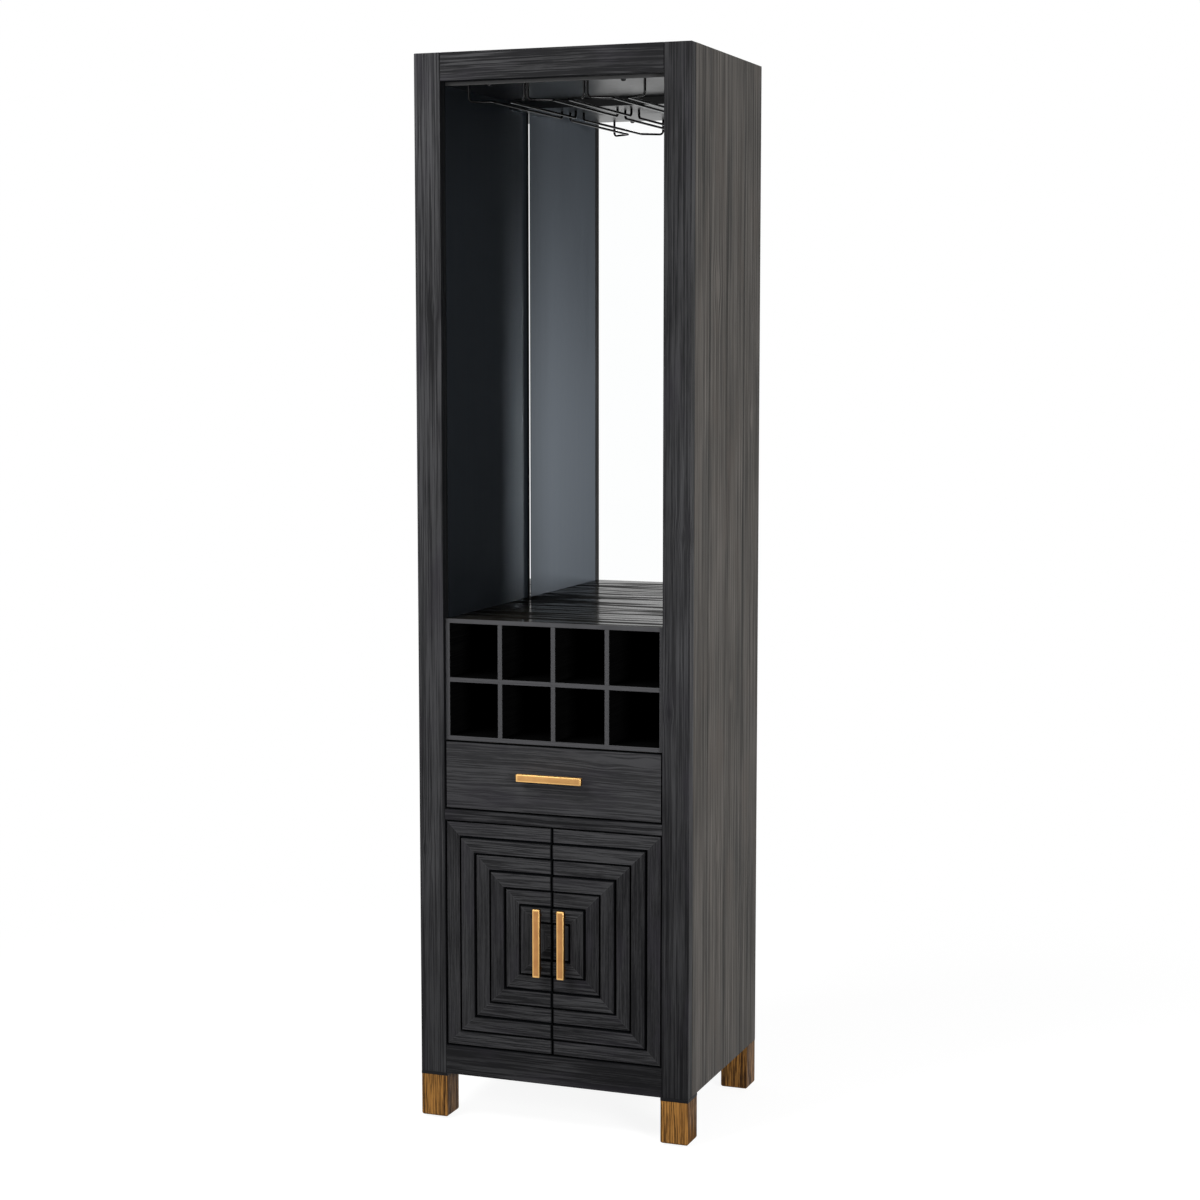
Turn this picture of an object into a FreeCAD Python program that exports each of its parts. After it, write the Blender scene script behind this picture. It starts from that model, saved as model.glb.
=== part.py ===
"""Tall drinks cabinet with a mirrored bay, bottle rack, drawer and two doors.

Frame: X to the right seen from the front, Y to the back, Z up.  The origin is on
the floor, under the middle of the whole object, handles included.  Millimetres.
"""
import FreeCAD
import Part
import Sketcher
import math
import os

SIDE_BOARDS = 4
TOP_BOARDS = 4
DECK_BOARDS = 4
RACK_COLUMNS = 4
RACK_ROWS = 2
DOOR_RINGS = 6
GLASS_SLOTS = 3
PARALLEL = 0.001
SIDES = (("left", -1), ("right", 1))

doc = FreeCAD.newDocument("drinks_cabinet")
sheet = doc.addObject("Spreadsheet::Sheet", "Sizes")
sub_parts = []


class Size:
    """A length with its value in millimetres and the sheet expression that gives it."""

    def __init__(self, text, value):
        self.text = text
        self.value = value

    @staticmethod
    def of(other):
        return other if isinstance(other, Size) else Size(f"{other:g}", float(other))

    def joined(self, sign, other, value):
        return Size(f"({self.text} {sign} {other.text})", value)

    def __add__(self, other):
        other = Size.of(other)
        return self.joined("+", other, self.value + other.value)

    def __sub__(self, other):
        other = Size.of(other)
        return self.joined("-", other, self.value - other.value)

    def __mul__(self, other):
        other = Size.of(other)
        return self.joined("*", other, self.value * other.value)

    def __truediv__(self, other):
        other = Size.of(other)
        return self.joined("/", other, self.value / other.value)

    def __neg__(self):
        return Size.of(0) - self

    def __radd__(self, other):
        return Size.of(other) + self

    def __rsub__(self, other):
        return Size.of(other) - self

    def __rmul__(self, other):
        return Size.of(other) * self


def size(alias, value, note):
    """Add one driving dimension to the sheet."""
    row = size.rows = size.rows + 1
    sheet.set(f"A{row}", note)
    sheet.set(f"B{row}", str(value))
    sheet.setAlias(f"B{row}", alias)
    return Size(f"Sizes.{alias}", value)


size.rows = 0

# Overall
cabinet_width = size("cabinet_width", 566, "width over the outside walls")
cabinet_depth = size("cabinet_depth", 443, "depth from frame face to back")
cabinet_height = size("cabinet_height", 2107.5, "height from the floor")
base_height = size("base_height", 95, "underside of the carcass above the floor")

# Front frame and carcass
stile_width = size("stile_width", 55, "frame stile, seen from the front")
frame_behind_door = size("frame_behind_door", 6, "frame stock that shows behind a closed door")
top_rail_height = size("top_rail_height", 55, "top rail")
middle_rail_height = size("middle_rail_height", 22, "rail between drawer and doors")
bottom_rail_height = size("bottom_rail_height", 58.5, "bottom rail")
door_opening_height = size("door_opening_height", 458, "opening for the doors")
drawer_opening_height = size("drawer_opening_height", 137.5, "opening for the drawer")
side_thickness = size("side_thickness", 18, "outside wall boards")
liner_thickness = size("liner_thickness", 9.5, "inner wall, ceiling and dust board stock")
post_depth = size("post_depth", 45, "corner post, front to back")
batten_height = size("batten_height", 45, "battens between the corner posts")
top_thickness = size("top_thickness", 18, "top boards")
back_thickness = size("back_thickness", 6, "back panel")
floor_thickness = size("floor_thickness", 18, "cupboard floor")
ceiling_lip = size("ceiling_lip", 6.5, "ceiling face below the top rail")
frame_round = size("frame_round", 1.6, "rounding of frame edges")
board_round = size("board_round", 0.7, "rounding of board edges")

# Bottle rack and deck
rack_board = size("rack_board", 8.7, "deck and bottle rack stock")
cell_height = size("cell_height", 107.7, "clear height of a bottle cell")
rack_recess = size("rack_recess", 9, "deck and rack edges behind the frame face")
lap_clearance = size("lap_clearance", 0.1, "play in the cross laps, each side")

# Mirror
mirror_thickness = size("mirror_thickness", 3, "mirror glass")
mirror_bevel = size("mirror_bevel", 4, "width of the polished bevel")
mirror_bevel_depth = size("mirror_bevel_depth", 2, "depth of the polished bevel")
mirror_side_gap = size("mirror_side_gap", 4, "gap between mirror and inner wall")
mirror_head_gap = size("mirror_head_gap", 0.8, "gap between mirror and ceiling")

# Glass rack
wire_radius = size("wire_radius", 2.5, "glass rack wire")
wire_bend = size("wire_bend", 8, "bend radius on the wire's centre line")
wire_seat = size("wire_seat", 6, "depth of wire ends in the wood")
wire_clearance = size("wire_clearance", 0.05, "play of wire ends in their holes")
rail_drop = size("rail_drop", 31, "wire centre below the ceiling")
rack_side_gap = size("rack_side_gap", 48, "inner wall to the outermost hook")
hook_gap = size("hook_gap", 6.8, "hook to hook of neighbouring slots")
slot_half = size("slot_half", 15.1, "slot centre to rail")
hook_setback = size("hook_setback", 5, "front hooks behind the ceiling's edge")
flare_length = size("flare_length", 26, "flared mouth, front to back")
rail_rear_gap = size("rail_rear_gap", 23, "rail end to mirror")
cleat_depth = size("cleat_depth", 90, "cleat over the rail ends, front to back")
cleat_height = size("cleat_height", 16, "cleat over the rail ends")

# Drawer and runners
front_gap = size("front_gap", 3, "gap round the drawer front and doors")
front_recess = size("front_recess", 3, "drawer face and low strips behind the frame face")
drawer_front_thickness = size("drawer_front_thickness", 18, "drawer front")
drawer_side_thickness = size("drawer_side_thickness", 12, "drawer sides and back")
drawer_side_lift = size("drawer_side_lift", 10, "drawer sides above the front's lower edge")
drawer_side_drop = size("drawer_side_drop", 21, "drawer sides below the front's upper edge")
drawer_rear_space = size("drawer_rear_space", 49, "drawer box to back panel")
drawer_bottom_thickness = size("drawer_bottom_thickness", 6, "drawer bottom")
groove_depth = size("groove_depth", 5, "groove for the drawer bottom")
groove_lift = size("groove_lift", 10, "groove above the side's lower edge")
groove_clearance = size("groove_clearance", 0.1, "play of the bottom in its grooves")
runner_space = size("runner_space", 12.7, "space for a runner beside the drawer")
runner_end_gap = size("runner_end_gap", 6, "runner end to the end of the drawer box")
runner_height = size("runner_height", 36, "fixed runner member")
runner_sheet = size("runner_sheet", 1.5, "runner steel")
runner_clearance = size("runner_clearance", 0.3, "running gap between the members")
runner_lift = size("runner_lift", 32, "runner above the drawer side's lower edge")

# Doors
door_meeting_gap = size("door_meeting_gap", 4, "gap between the doors")
door_panel_thickness = size("door_panel_thickness", 10, "panel behind the strips")
strip_thickness = size("strip_thickness", 6, "low strips and centre block")
strip_raise = size("strip_raise", 3, "raised strips in front of low ones")
centre_width = size("centre_width", 32.2, "centre block on each door")
centre_height = size("centre_height", 70.4, "centre block")
strip_gap = size("strip_gap", 4.2, "groove between strips")
strip_round = size("strip_round", 1, "rounding of strip edges")
pivot_radius = size("pivot_radius", 2.5, "pivot pin")
pivot_seat = size("pivot_seat", 20, "pin length in the door")
pivot_margin = size("pivot_margin", 3.3, "pivot further in than the swing needs")
pivot_clearance = size("pivot_clearance", 0.05, "running play of pins, and of bushes and pins in wood")
bush_wall = size("bush_wall", 2, "wall of the pivot bush")
bush_length = size("bush_length", 12, "pivot bush")
catch_width = size("catch_width", 44, "double magnetic catch")
catch_depth = size("catch_depth", 18, "catch body behind the frame")
catch_drop = size("catch_drop", 15, "catch body below the door's upper edge")
catch_gap = size("catch_gap", 0.2, "catch to strike plate")
strike_thickness = size("strike_thickness", 1, "strike plate")
strike_width = size("strike_width", 16, "strike plate")
strike_inset = size("strike_inset", 2, "strike plate from the door's edges")

# Handles
handle_width = size("handle_width", 15, "bar face")
handle_thickness = size("handle_thickness", 10, "bar, front to back")
handle_round = size("handle_round", 2, "rounding of the bar")
handle_standoff = size("handle_standoff", 11, "bar in front of the face it stands on")
handle_post_radius = size("handle_post_radius", 4.5, "handle posts")
handle_post_inset = size("handle_post_inset", 14.8, "post centre from the bar's end")
handle_inset = size("handle_inset", 23.4, "door handle from the door's meeting edge")
drawer_handle_lift = size("drawer_handle_lift", 6, "drawer handle above the middle of the front")
screw_radius = size("screw_radius", 2, "handle screw")
screw_grip = size("screw_grip", 8, "screw length in the post")
screw_head_radius = size("screw_head_radius", 4, "screw head")
screw_head_height = size("screw_head_height", 2.5, "screw head")
screw_clearance = size("screw_clearance", 0.2, "play of screws in their holes")

# Legs
leg_width = size("leg_width", 57, "leg, square")
leg_round = size("leg_round", 2.5, "rounding of upright leg edges")
leg_foot_round = size("leg_foot_round", 5, "rounding round the foot of a leg")
leg_spacer = size("leg_spacer", 6, "dark spacer over each front leg")
bolt_radius = size("bolt_radius", 4, "leg bolt")
bolt_seat = size("bolt_seat", 40, "bolt length in the leg and in the post")
bolt_clearance = size("bolt_clearance", 0.1, "play of bolts in their holes")
glide_radius = size("glide_radius", 10, "glide")
glide_height = size("glide_height", 4, "glide below the leg")
glide_pin_radius = size("glide_pin_radius", 1.5, "nail of the glide")
glide_pin_length = size("glide_pin_length", 12, "nail of the glide")

# Cupboard shelf
shelf_thickness = size("shelf_thickness", 16, "loose shelf")
shelf_lift = size("shelf_lift", 225, "shelf underside above the cupboard floor")
shelf_setback = size("shelf_setback", 30, "shelf behind the frame")
shelf_play = size("shelf_play", 0.8, "shelf to the walls")
shelf_pin_radius = size("shelf_pin_radius", 2.5, "shelf pin")
shelf_pin_reach = size("shelf_pin_reach", 10, "shelf pin out of the wall")
shelf_pin_seat = size("shelf_pin_seat", 7, "shelf pin in the wall")
shelf_pin_inset = size("shelf_pin_inset", 50, "shelf pin from the shelf's edge")
doc.recompute()

# Front to back
handle_reach = handle_standoff + handle_thickness
projection = handle_reach + strip_raise - front_recess
front = (projection - cabinet_depth) / 2
back = (projection + cabinet_depth) / 2
low_face = front + front_recess
raised_face = low_face - strip_raise
door_face = low_face + strip_thickness
door_back = door_face + door_panel_thickness
frame_back = door_back + frame_behind_door
rack_front = front + rack_recess
panel_front = back - back_thickness
mirror_front = panel_front - mirror_thickness

# Side to side, from the middle
outer = cabinet_width / 2
inner = outer - stile_width
wall_inside = outer - side_thickness
liner_outside = inner + liner_thickness

# Bottom to top
floor_top = base_height + bottom_rail_height
door_head = floor_top + door_opening_height
drawer_sill = door_head + middle_rail_height
dust_under = drawer_sill - liner_thickness
rack_under = drawer_sill + drawer_opening_height
cell_floor = rack_under + rack_board
deck_under = cell_floor + RACK_ROWS * (cell_height + rack_board) - rack_board
deck_top = deck_under + rack_board
ceiling = cabinet_height - top_rail_height - ceiling_lip
top_under = cabinet_height - top_thickness

# Doors
door_low = floor_top + front_gap
door_high = door_head - front_gap
door_middle = (door_low + door_high) / 2
door_edge = inner - front_gap
door_meet = door_meeting_gap / 2
side_strip = (door_edge - door_meet - centre_width) / DOOR_RINGS - strip_gap
level_strip = (door_high - door_low - centre_height) / (2 * DOOR_RINGS) - strip_gap
swing = strip_thickness + door_panel_thickness / 2
pivot_x = door_edge - (swing * swing - front_gap * front_gap) / (2 * front_gap) - pivot_margin
pivot_y = low_face + swing
bush_radius = pivot_radius + bush_wall

# Handles: the posts of the door handles stand on the middle of the last ring's strips
post_reach = (centre_height + level_strip) / 2 + strip_gap
handle_half = post_reach + handle_post_inset

# Drawer
drawer_low = drawer_sill + front_gap
drawer_high = rack_under - front_gap
drawer_handle_z = (drawer_low + drawer_high) / 2 + drawer_handle_lift
drawer_side_low = drawer_low + drawer_side_lift
drawer_side_high = drawer_high - drawer_side_drop
box_front = low_face + drawer_front_thickness
box_back = panel_front - drawer_rear_space
box_half = inner - runner_space
runner_length = box_back - runner_end_gap - frame_back

# Glass rack
glass_pitch = (2 * (inner - rack_side_gap) + hook_gap) / GLASS_SLOTS
hook_half = (glass_pitch - hook_gap) / 2
hook_y = frame_back + hook_setback
rail_rear_y = mirror_front - rail_rear_gap
cleat_under = ceiling - cleat_height

# Cupboard shelf and legs
shelf_front = frame_back + shelf_setback
shelf_back = panel_front - shelf_play
shelf_low = floor_top + shelf_lift
shelf_pin_z = shelf_low - shelf_pin_radius
shelf_pin_y = {"front": shelf_front + shelf_pin_inset, "rear": shelf_back - shelf_pin_inset}
leg_start = {"front": front, "rear": back - leg_width}
post_start = {"front": frame_back, "rear": panel_front - post_depth}
bolt_x = (liner_outside + wall_inside) / 2
bolt_y = {"front": (frame_back + front + leg_width) / 2, "rear": (back - leg_width + panel_front) / 2}


def about(axis, degrees):
    """A turn about one of the main axes."""
    return FreeCAD.Rotation(FreeCAD.Vector(*(float(name == axis) for name in "xyz")), degrees)


ALONG_X = about("y", 90)
ALONG_Y = about("x", -90)
UPSIDE_DOWN = about("x", 180)


def bind(thing, name, value):
    """Tie one property to the sheet."""
    thing.setExpression(name, Size.of(value).text)


def place(thing, x, y, z, rotation=None):
    """Tie a Placement to the sheet, after an optional turn."""
    turn = rotation or FreeCAD.Rotation()
    thing.Placement = FreeCAD.Placement(FreeCAD.Vector(), turn)
    for axis, value in (("x", x), ("y", y), ("z", z)):
        bind(thing, f".Placement.Base.{axis}", value)


def mirrored(sign, near, far):
    """The span from near to far on the right, or its mirror image on the left."""
    return (near, far) if sign > 0 else (-far, -near)


def finish(thing, label):
    """Name a finished sub-part."""
    thing.Label = label
    sub_parts.append(thing)


def group(label, pieces):
    """Several separate solids that share one sub-part."""
    holder = doc.addObject("Part::Compound", label)
    holder.Links = pieces
    finish(holder, label)


def rounded(base, radius, wanted=None):
    """Round the wanted edges of a piece, or all of them."""
    doc.recompute()
    fillet = doc.addObject("Part::Fillet", base.Name + "_rounded")
    fillet.Base = base
    edges = enumerate(base.Shape.Edges, 1)
    fillet.Edges = [(i, radius.value, radius.value) for i, edge in edges if wanted is None or wanted(edge)]
    return fillet


def board(name, x, y, z, radius=None):
    """A square-cut board between two corners."""
    box = doc.addObject("Part::Box", name)
    for prop, (low, high) in zip(("Length", "Width", "Height"), (x, y, z)):
        bind(box, prop, high - low)
    place(box, x[0], y[0], z[0])
    return box if radius is None else rounded(box, radius)


def edge_joined(name, count, x, y, z):
    """Boards side by side from front to back."""
    pitch = (y[1] - y[0]) / count
    spans = [(y[0] + i * pitch, y[0] + (i + 1) * pitch) for i in range(count)]
    return [board(f"{name}_{i}", x, span, z, board_round) for i, span in enumerate(spans, 1)]


def wedge(name, sizes):
    """A block whose far face is smaller than its near one."""
    block = doc.addObject("Part::Wedge", name)
    for prop, value in sizes.items():
        bind(block, prop, value)
    return block


def rod(name, radius, length, at, rotation=None):
    """A plain cylinder, upright unless turned."""
    cylinder = doc.addObject("Part::Cylinder", name)
    bind(cylinder, "Radius", radius)
    bind(cylinder, "Height", length)
    place(cylinder, *at, rotation)
    return cylinder


def drilled(base, tools):
    """A piece with holes."""
    holes = doc.addObject("Part::Compound", base.Name + "_holes")
    holes.Links = tools
    cut = doc.addObject("Part::Cut", base.Name + "_drilled")
    cut.Base = base
    cut.Tool = holes
    return cut


def outline(body, plane, points):
    """A closed sketch through the points, each tied to the sheet."""
    sketch = body.newObject("Sketcher::SketchObject", body.Name + "_outline")
    support = [f for f in body.Origin.OriginFeatures if f.Role == plane + "_Plane"]
    sketch.AttachmentSupport = (support[0], [""])
    sketch.MapMode = "FlatFace"
    points = [(Size.of(u), Size.of(v)) for u, v in points]
    corners = [FreeCAD.Vector(u.value, v.value, 0) for u, v in points]
    following = [(i + 1) % len(points) for i in range(len(points))]
    for i, after in enumerate(following):
        sketch.addGeometry(Part.LineSegment(corners[i], corners[after]), False)
    for i, after in enumerate(following):
        sketch.addConstraint(Sketcher.Constraint("Coincident", i, 2, after, 1))
    for i, point in enumerate(points):
        for kind, value in zip(("DistanceX", "DistanceY"), point):
            index = sketch.addConstraint(Sketcher.Constraint(kind, i, 1, value.value))
            bind(sketch, f"Constraints[{index}]", value)
    return sketch


def prism(name, plane, points, length, at):
    """A piece of constant section, made along the axis that its plane leaves out."""
    body = doc.addObject("PartDesign::Body", name)
    pad = body.newObject("PartDesign::Pad", name + "_pad")
    pad.Profile = outline(body, plane, points)
    pad.Reversed = plane == "XZ"
    bind(pad, "Length", length)
    place(body, *at)
    return body


def turned(name, points, at, rotation=None):
    """A piece turned about Z from points given as radius and height."""
    body = doc.addObject("PartDesign::Body", name)
    sketch = outline(body, "XZ", points)
    revolution = body.newObject("PartDesign::Revolution", name + "_turn")
    revolution.Profile = sketch
    revolution.ReferenceAxis = (sketch, ["V_Axis"])
    place(body, *at, rotation)
    return body


def front_frame():
    """Stiles at full height with the three rails butted between them."""
    depth = (front, frame_back)
    across = (-inner, inner)
    for side, sign in SIDES:
        stile = board(f"{side}_stile_stock", mirrored(sign, inner, outer), depth,
                      (base_height, cabinet_height), frame_round)
        finish(stile, f"{side}_stile")
    top = (cabinet_height - top_rail_height, cabinet_height)
    finish(board("top_rail_stock", across, depth, top, frame_round), "top_rail")
    rails = (("middle_rail", (door_head, drawer_sill), door_head),
             ("bottom_rail", (base_height, floor_top), floor_top - bush_length))
    for name, tall, bush_low in rails:
        holes = [rod(f"{name}_{side}_hole", bush_radius + pivot_clearance, bush_length,
                     (sign * pivot_x, pivot_y, bush_low)) for side, sign in SIDES]
        finish(drilled(board(f"{name}_stock", across, depth, tall, board_round), holes), name)


def outside_walls():
    """Upright boards behind each stile, the first cut short by the frame's thickness."""
    tall = (base_height, cabinet_height)
    seam = front + cabinet_depth / SIDE_BOARDS
    for side, sign in SIDES:
        x = mirrored(sign, wall_inside, outer)
        first = board(f"{side}_side_board_first", x, (frame_back, seam), tall, board_round)
        rest = edge_joined(f"{side}_side_board", SIDE_BOARDS - 1, x, (seam, back), tall)
        group(f"{side}_side_boards", [first, *rest])


def inner_walls():
    """Smooth liners, and the posts and battens that hold the outside walls off them."""
    posts = []
    battens = []
    depth = (frame_back, panel_front)
    tall = (base_height, top_under)
    for side, sign in SIDES:
        stock = board(f"{side}_liner_stock", mirrored(sign, inner, liner_outside), depth, tall)
        mouth = inner if sign > 0 else -inner - shelf_pin_seat
        holes = [rod(f"{side}_{end}_pin_hole", shelf_pin_radius + pivot_clearance, shelf_pin_seat,
                     (mouth, y, shelf_pin_z), ALONG_X) for end, y in shelf_pin_y.items()]
        finish(drilled(stock, holes), f"{side}_liner")
        x = mirrored(sign, liner_outside, wall_inside)
        for end, start in post_start.items():
            post = board(f"{end}_{side}_post", x, (start, start + post_depth), tall)
            hole = rod(f"{end}_{side}_post_hole", bolt_radius + bolt_clearance, bolt_seat,
                       (sign * bolt_x, bolt_y[end], base_height))
            posts.append(drilled(post, [hole]))
        y = (post_start["front"] + post_depth, post_start["rear"])
        levels = {"foot": base_height, "deck": deck_top - batten_height, "head": top_under - batten_height}
        for level, low in levels.items():
            battens.append(board(f"{side}_{level}_batten", x, y, (low, low + batten_height)))
    group("wall_framing", posts + battens)


def wire_holes(name, ends, face):
    """Holes for wire ends, drilled up from one level."""
    return [rod(f"{name}_hole_{i}", wire_radius + wire_clearance, wire_seat, (x, y, face))
            for i, (x, y) in enumerate(ends, 1)]


def top_and_back():
    """Ceiling and cleat, both drilled for the wire ends, then the top boards and the back panel."""
    hooks = []
    risers = []
    for i in range(GLASS_SLOTS):
        for sign in (-1, 1):
            hooks.append((slot_centre(i) + sign * hook_half, hook_y))
            risers.append((slot_centre(i) + sign * slot_half, rail_rear_y))
    lid = board("ceiling_stock", (-inner, inner), (frame_back, panel_front),
                (ceiling, ceiling + liner_thickness), board_round)
    finish(drilled(lid, wire_holes("hook", hooks, ceiling)), "ceiling_panel")
    cleat = board("cleat_stock", (-inner, inner), (mirror_front - cleat_depth, mirror_front),
                  (cleat_under, ceiling), board_round)
    finish(drilled(cleat, wire_holes("riser", risers, cleat_under)), "rack_cleat")
    across = (-wall_inside, wall_inside)
    lid_boards = edge_joined("top_board", TOP_BOARDS, across, (frame_back, back), (top_under, cabinet_height))
    group("top_boards", lid_boards)
    finish(board("back_sheet", across, (panel_front, back), (base_height, top_under)), "back_panel")


def mirror_glass():
    """Mirror standing on the deck against the back panel, bevelled on its upright edges."""
    half = inner - mirror_side_gap
    high = ceiling - mirror_head_gap - deck_top
    flat_front = mirror_front + mirror_bevel_depth
    flat = board("mirror_flat", (-half, half), (flat_front, panel_front), (deck_top, deck_top + high))
    wide = 2 * half
    face = wedge("mirror_face", {"Xmin": mirror_bevel, "Xmax": wide - mirror_bevel, "X2min": 0, "X2max": wide,
                                 "Zmin": 0, "Zmax": high, "Z2min": 0, "Z2max": high,
                                 "Ymin": 0, "Ymax": mirror_bevel_depth})
    place(face, -half, mirror_front, deck_top)
    glass = doc.addObject("Part::Fuse", "mirror_glass")
    glass.Base = flat
    glass.Tool = face
    glass.Refine = True
    finish(glass, "mirror")


def bottle_rack():
    """Deck boards over a rack whose shelf and dividers cross lap half and half."""
    depth = panel_front - rack_front
    across = (-inner, inner)
    whole = (rack_front, panel_front)
    group("deck_boards", edge_joined("deck_board", DECK_BOARDS, across, whole, (deck_under, deck_top)))
    floor = board("rack_floor_stock", across, whole, (rack_under, cell_floor), board_round)
    finish(floor, "bottle_rack_floor")
    half = inner - rack_board
    for side, sign in SIDES:
        x = mirrored(sign, half, inner)
        cheek = board(f"rack_{side}_stock", x, whole, (cell_floor, deck_under), board_round)
        finish(cheek, f"bottle_rack_{side}_side")
    dividers = RACK_COLUMNS - 1
    cell_width = (2 * half - dividers * rack_board) / RACK_COLUMNS
    starts = [(i + 1) * cell_width + i * rack_board - half for i in range(dividers)]
    points = [(-half, depth), (-half, 0), (half, 0), (half, depth)]
    for start in reversed(starts):
        low = start - lap_clearance
        high = start + rack_board + lap_clearance
        points += [(high, depth), (high, depth / 2), (low, depth / 2), (low, depth)]
    shelf = prism("rack_shelf_body", "XY", points, rack_board, (0, rack_front, cell_floor + cell_height))
    finish(shelf, "bottle_rack_shelf")
    tall = deck_under - cell_floor
    low = cell_height - lap_clearance
    high = cell_height + rack_board + lap_clearance
    points = [(0, 0), (depth, 0), (depth, tall), (0, tall),
              (0, high), (depth / 2, high), (depth / 2, low), (0, low)]
    uprights = [prism(f"rack_divider_{i}", "YZ", points, rack_board, (start, rack_front, cell_floor))
                for i, start in enumerate(starts, 1)]
    group("bottle_rack_dividers", uprights)


def slot_centre(index):
    """Middle of one glass slot."""
    return (index - (GLASS_SLOTS - 1) / 2) * glass_pitch


def bent_path(points, radius):
    """Straight runs through the points, joined by tangent arcs."""
    edges = []
    start = points[0]
    for before, corner, after in zip(points, points[1:], points[2:]):
        arrive = (corner - before).normalize()
        leave = (after - corner).normalize()
        half_turn = arrive.getAngle(leave) / 2
        first = corner - arrive * radius * math.tan(half_turn)
        last = corner + leave * radius * math.tan(half_turn)
        middle = corner + (leave - arrive).normalize() * radius * (1 / math.cos(half_turn) - 1)
        edges.append(Part.LineSegment(start, first).toShape())
        edges.append(Part.Arc(first, middle, last).toShape())
        start = last
    edges.append(Part.LineSegment(start, points[-1]).toShape())
    return Part.Wire(edges)


def glass_rack():
    """Pairs of wire rails: hook down, flared mouth, straight rail, riser at the back."""
    low = ceiling - rail_drop
    for i, name in enumerate(("left", "middle", "right")):
        wires = []
        for sign in (-1, 1):
            hook_x = slot_centre(i) + sign * hook_half
            rail_x = slot_centre(i) + sign * slot_half
            route = [(hook_x, hook_y, ceiling + wire_seat), (hook_x, hook_y, low),
                     (rail_x, hook_y + flare_length, low), (rail_x, rail_rear_y, low),
                     (rail_x, rail_rear_y, cleat_under + wire_seat)]
            points = [FreeCAD.Vector(x.value, y.value, z.value) for x, y, z in route]
            circle = Part.Circle(points[0], FreeCAD.Vector(0, 0, 1), wire_radius.value)
            section = Part.Wire([circle.toShape()])
            wires.append(bent_path(points, wire_bend.value).makePipeShell([section], True, False))
        rails = doc.addObject("Part::Feature", f"glass_rack_{name}_wires")
        rails.Shape = Part.Compound(wires)
        finish(rails, f"glass_rack_{name}")


def drawer():
    """Front, grooved sides, back, bottom, handle and its screws."""
    slab = board("drawer_front_stock", (-door_edge, door_edge), (low_face, box_front),
                 (drawer_low, drawer_high), board_round)
    posts = [(sign * post_reach, drawer_handle_z) for _, sign in SIDES]
    finish(drilled(slab, screw_holes("drawer", posts, low_face, box_front)), "drawer_front")
    thick = drawer_side_thickness
    tall = drawer_side_high - drawer_side_low
    slot_low = groove_lift - groove_clearance
    slot_high = groove_lift + drawer_bottom_thickness + groove_clearance
    slot_in = groove_depth + groove_clearance
    section = [(0, 0), (thick, 0), (thick, tall), (0, tall),
               (0, slot_high), (slot_in, slot_high), (slot_in, slot_low), (0, slot_low)]
    half = box_half - thick
    for side, sign in SIDES:
        points = [(sign * u, v) for u, v in section]
        cheek = prism(f"drawer_{side}_body", "XZ", points, box_back - box_front,
                      (sign * half, box_front, drawer_side_low))
        finish(cheek, f"drawer_{side}_side")
    low = drawer_side_low + groove_lift
    high = low + drawer_bottom_thickness
    reach = half + groove_depth
    finish(board("drawer_tray", (-reach, reach), (box_front, box_back), (low, high)), "drawer_bottom")
    rear = board("drawer_rear", (-half, half), (box_back - thick, box_back), (high, drawer_side_high))
    finish(rear, "drawer_back")
    handle("drawer", 0, drawer_handle_z, low_face, False)
    handle_screws("drawer", posts, low_face, box_front)


def channel(reach, tall):
    """Section of a channel with its back on the height axis and its flanges along +u."""
    thin = runner_sheet
    return [(0, 0), (reach, 0), (reach, thin), (thin, thin), (thin, tall - thin), (reach, tall - thin),
            (reach, tall), (0, tall)]


def runners():
    """Steel channels: one fixed to each inner wall, one nested in it on each drawer side."""
    low = drawer_side_low + runner_lift
    reach = runner_space - runner_sheet - 2 * runner_clearance
    inset = runner_sheet + runner_clearance
    fixed = []
    moving = []
    for side, sign in SIDES:
        points = [(-sign * u, v) for u, v in channel(reach, runner_height)]
        fixed.append(prism(f"{side}_rail", "XZ", points, runner_length, (sign * inner, frame_back, low)))
        points = [(sign * u, v) for u, v in channel(reach, runner_height - 2 * inset)]
        moving.append(prism(f"{side}_slide", "XZ", points, runner_length,
                            (sign * box_half, frame_back, low + inset)))
    group("runner_rails", fixed)
    group("runner_slides", moving)


def screw_holes(owner, posts, near, far):
    """Clearance holes for handle screws, front to back."""
    return [rod(f"{owner}_screw_hole_{i}", screw_radius + screw_clearance, far - near, (x, near, z), ALONG_Y)
            for i, (x, z) in enumerate(posts, 1)]


def handle_screws(owner, posts, face, inside):
    """Pan-head screws from behind the front into the handle's posts."""
    length = inside - face + screw_grip
    section = [(0, 0), (screw_radius, 0), (screw_radius, length), (screw_head_radius, length),
               (screw_head_radius, length + screw_head_height), (0, length + screw_head_height)]
    group(f"{owner}_handle_screws", [turned(f"{owner}_screw_{i}", section, (x, face - screw_grip, z), ALONG_Y)
                                     for i, (x, z) in enumerate(posts, 1)])


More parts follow.
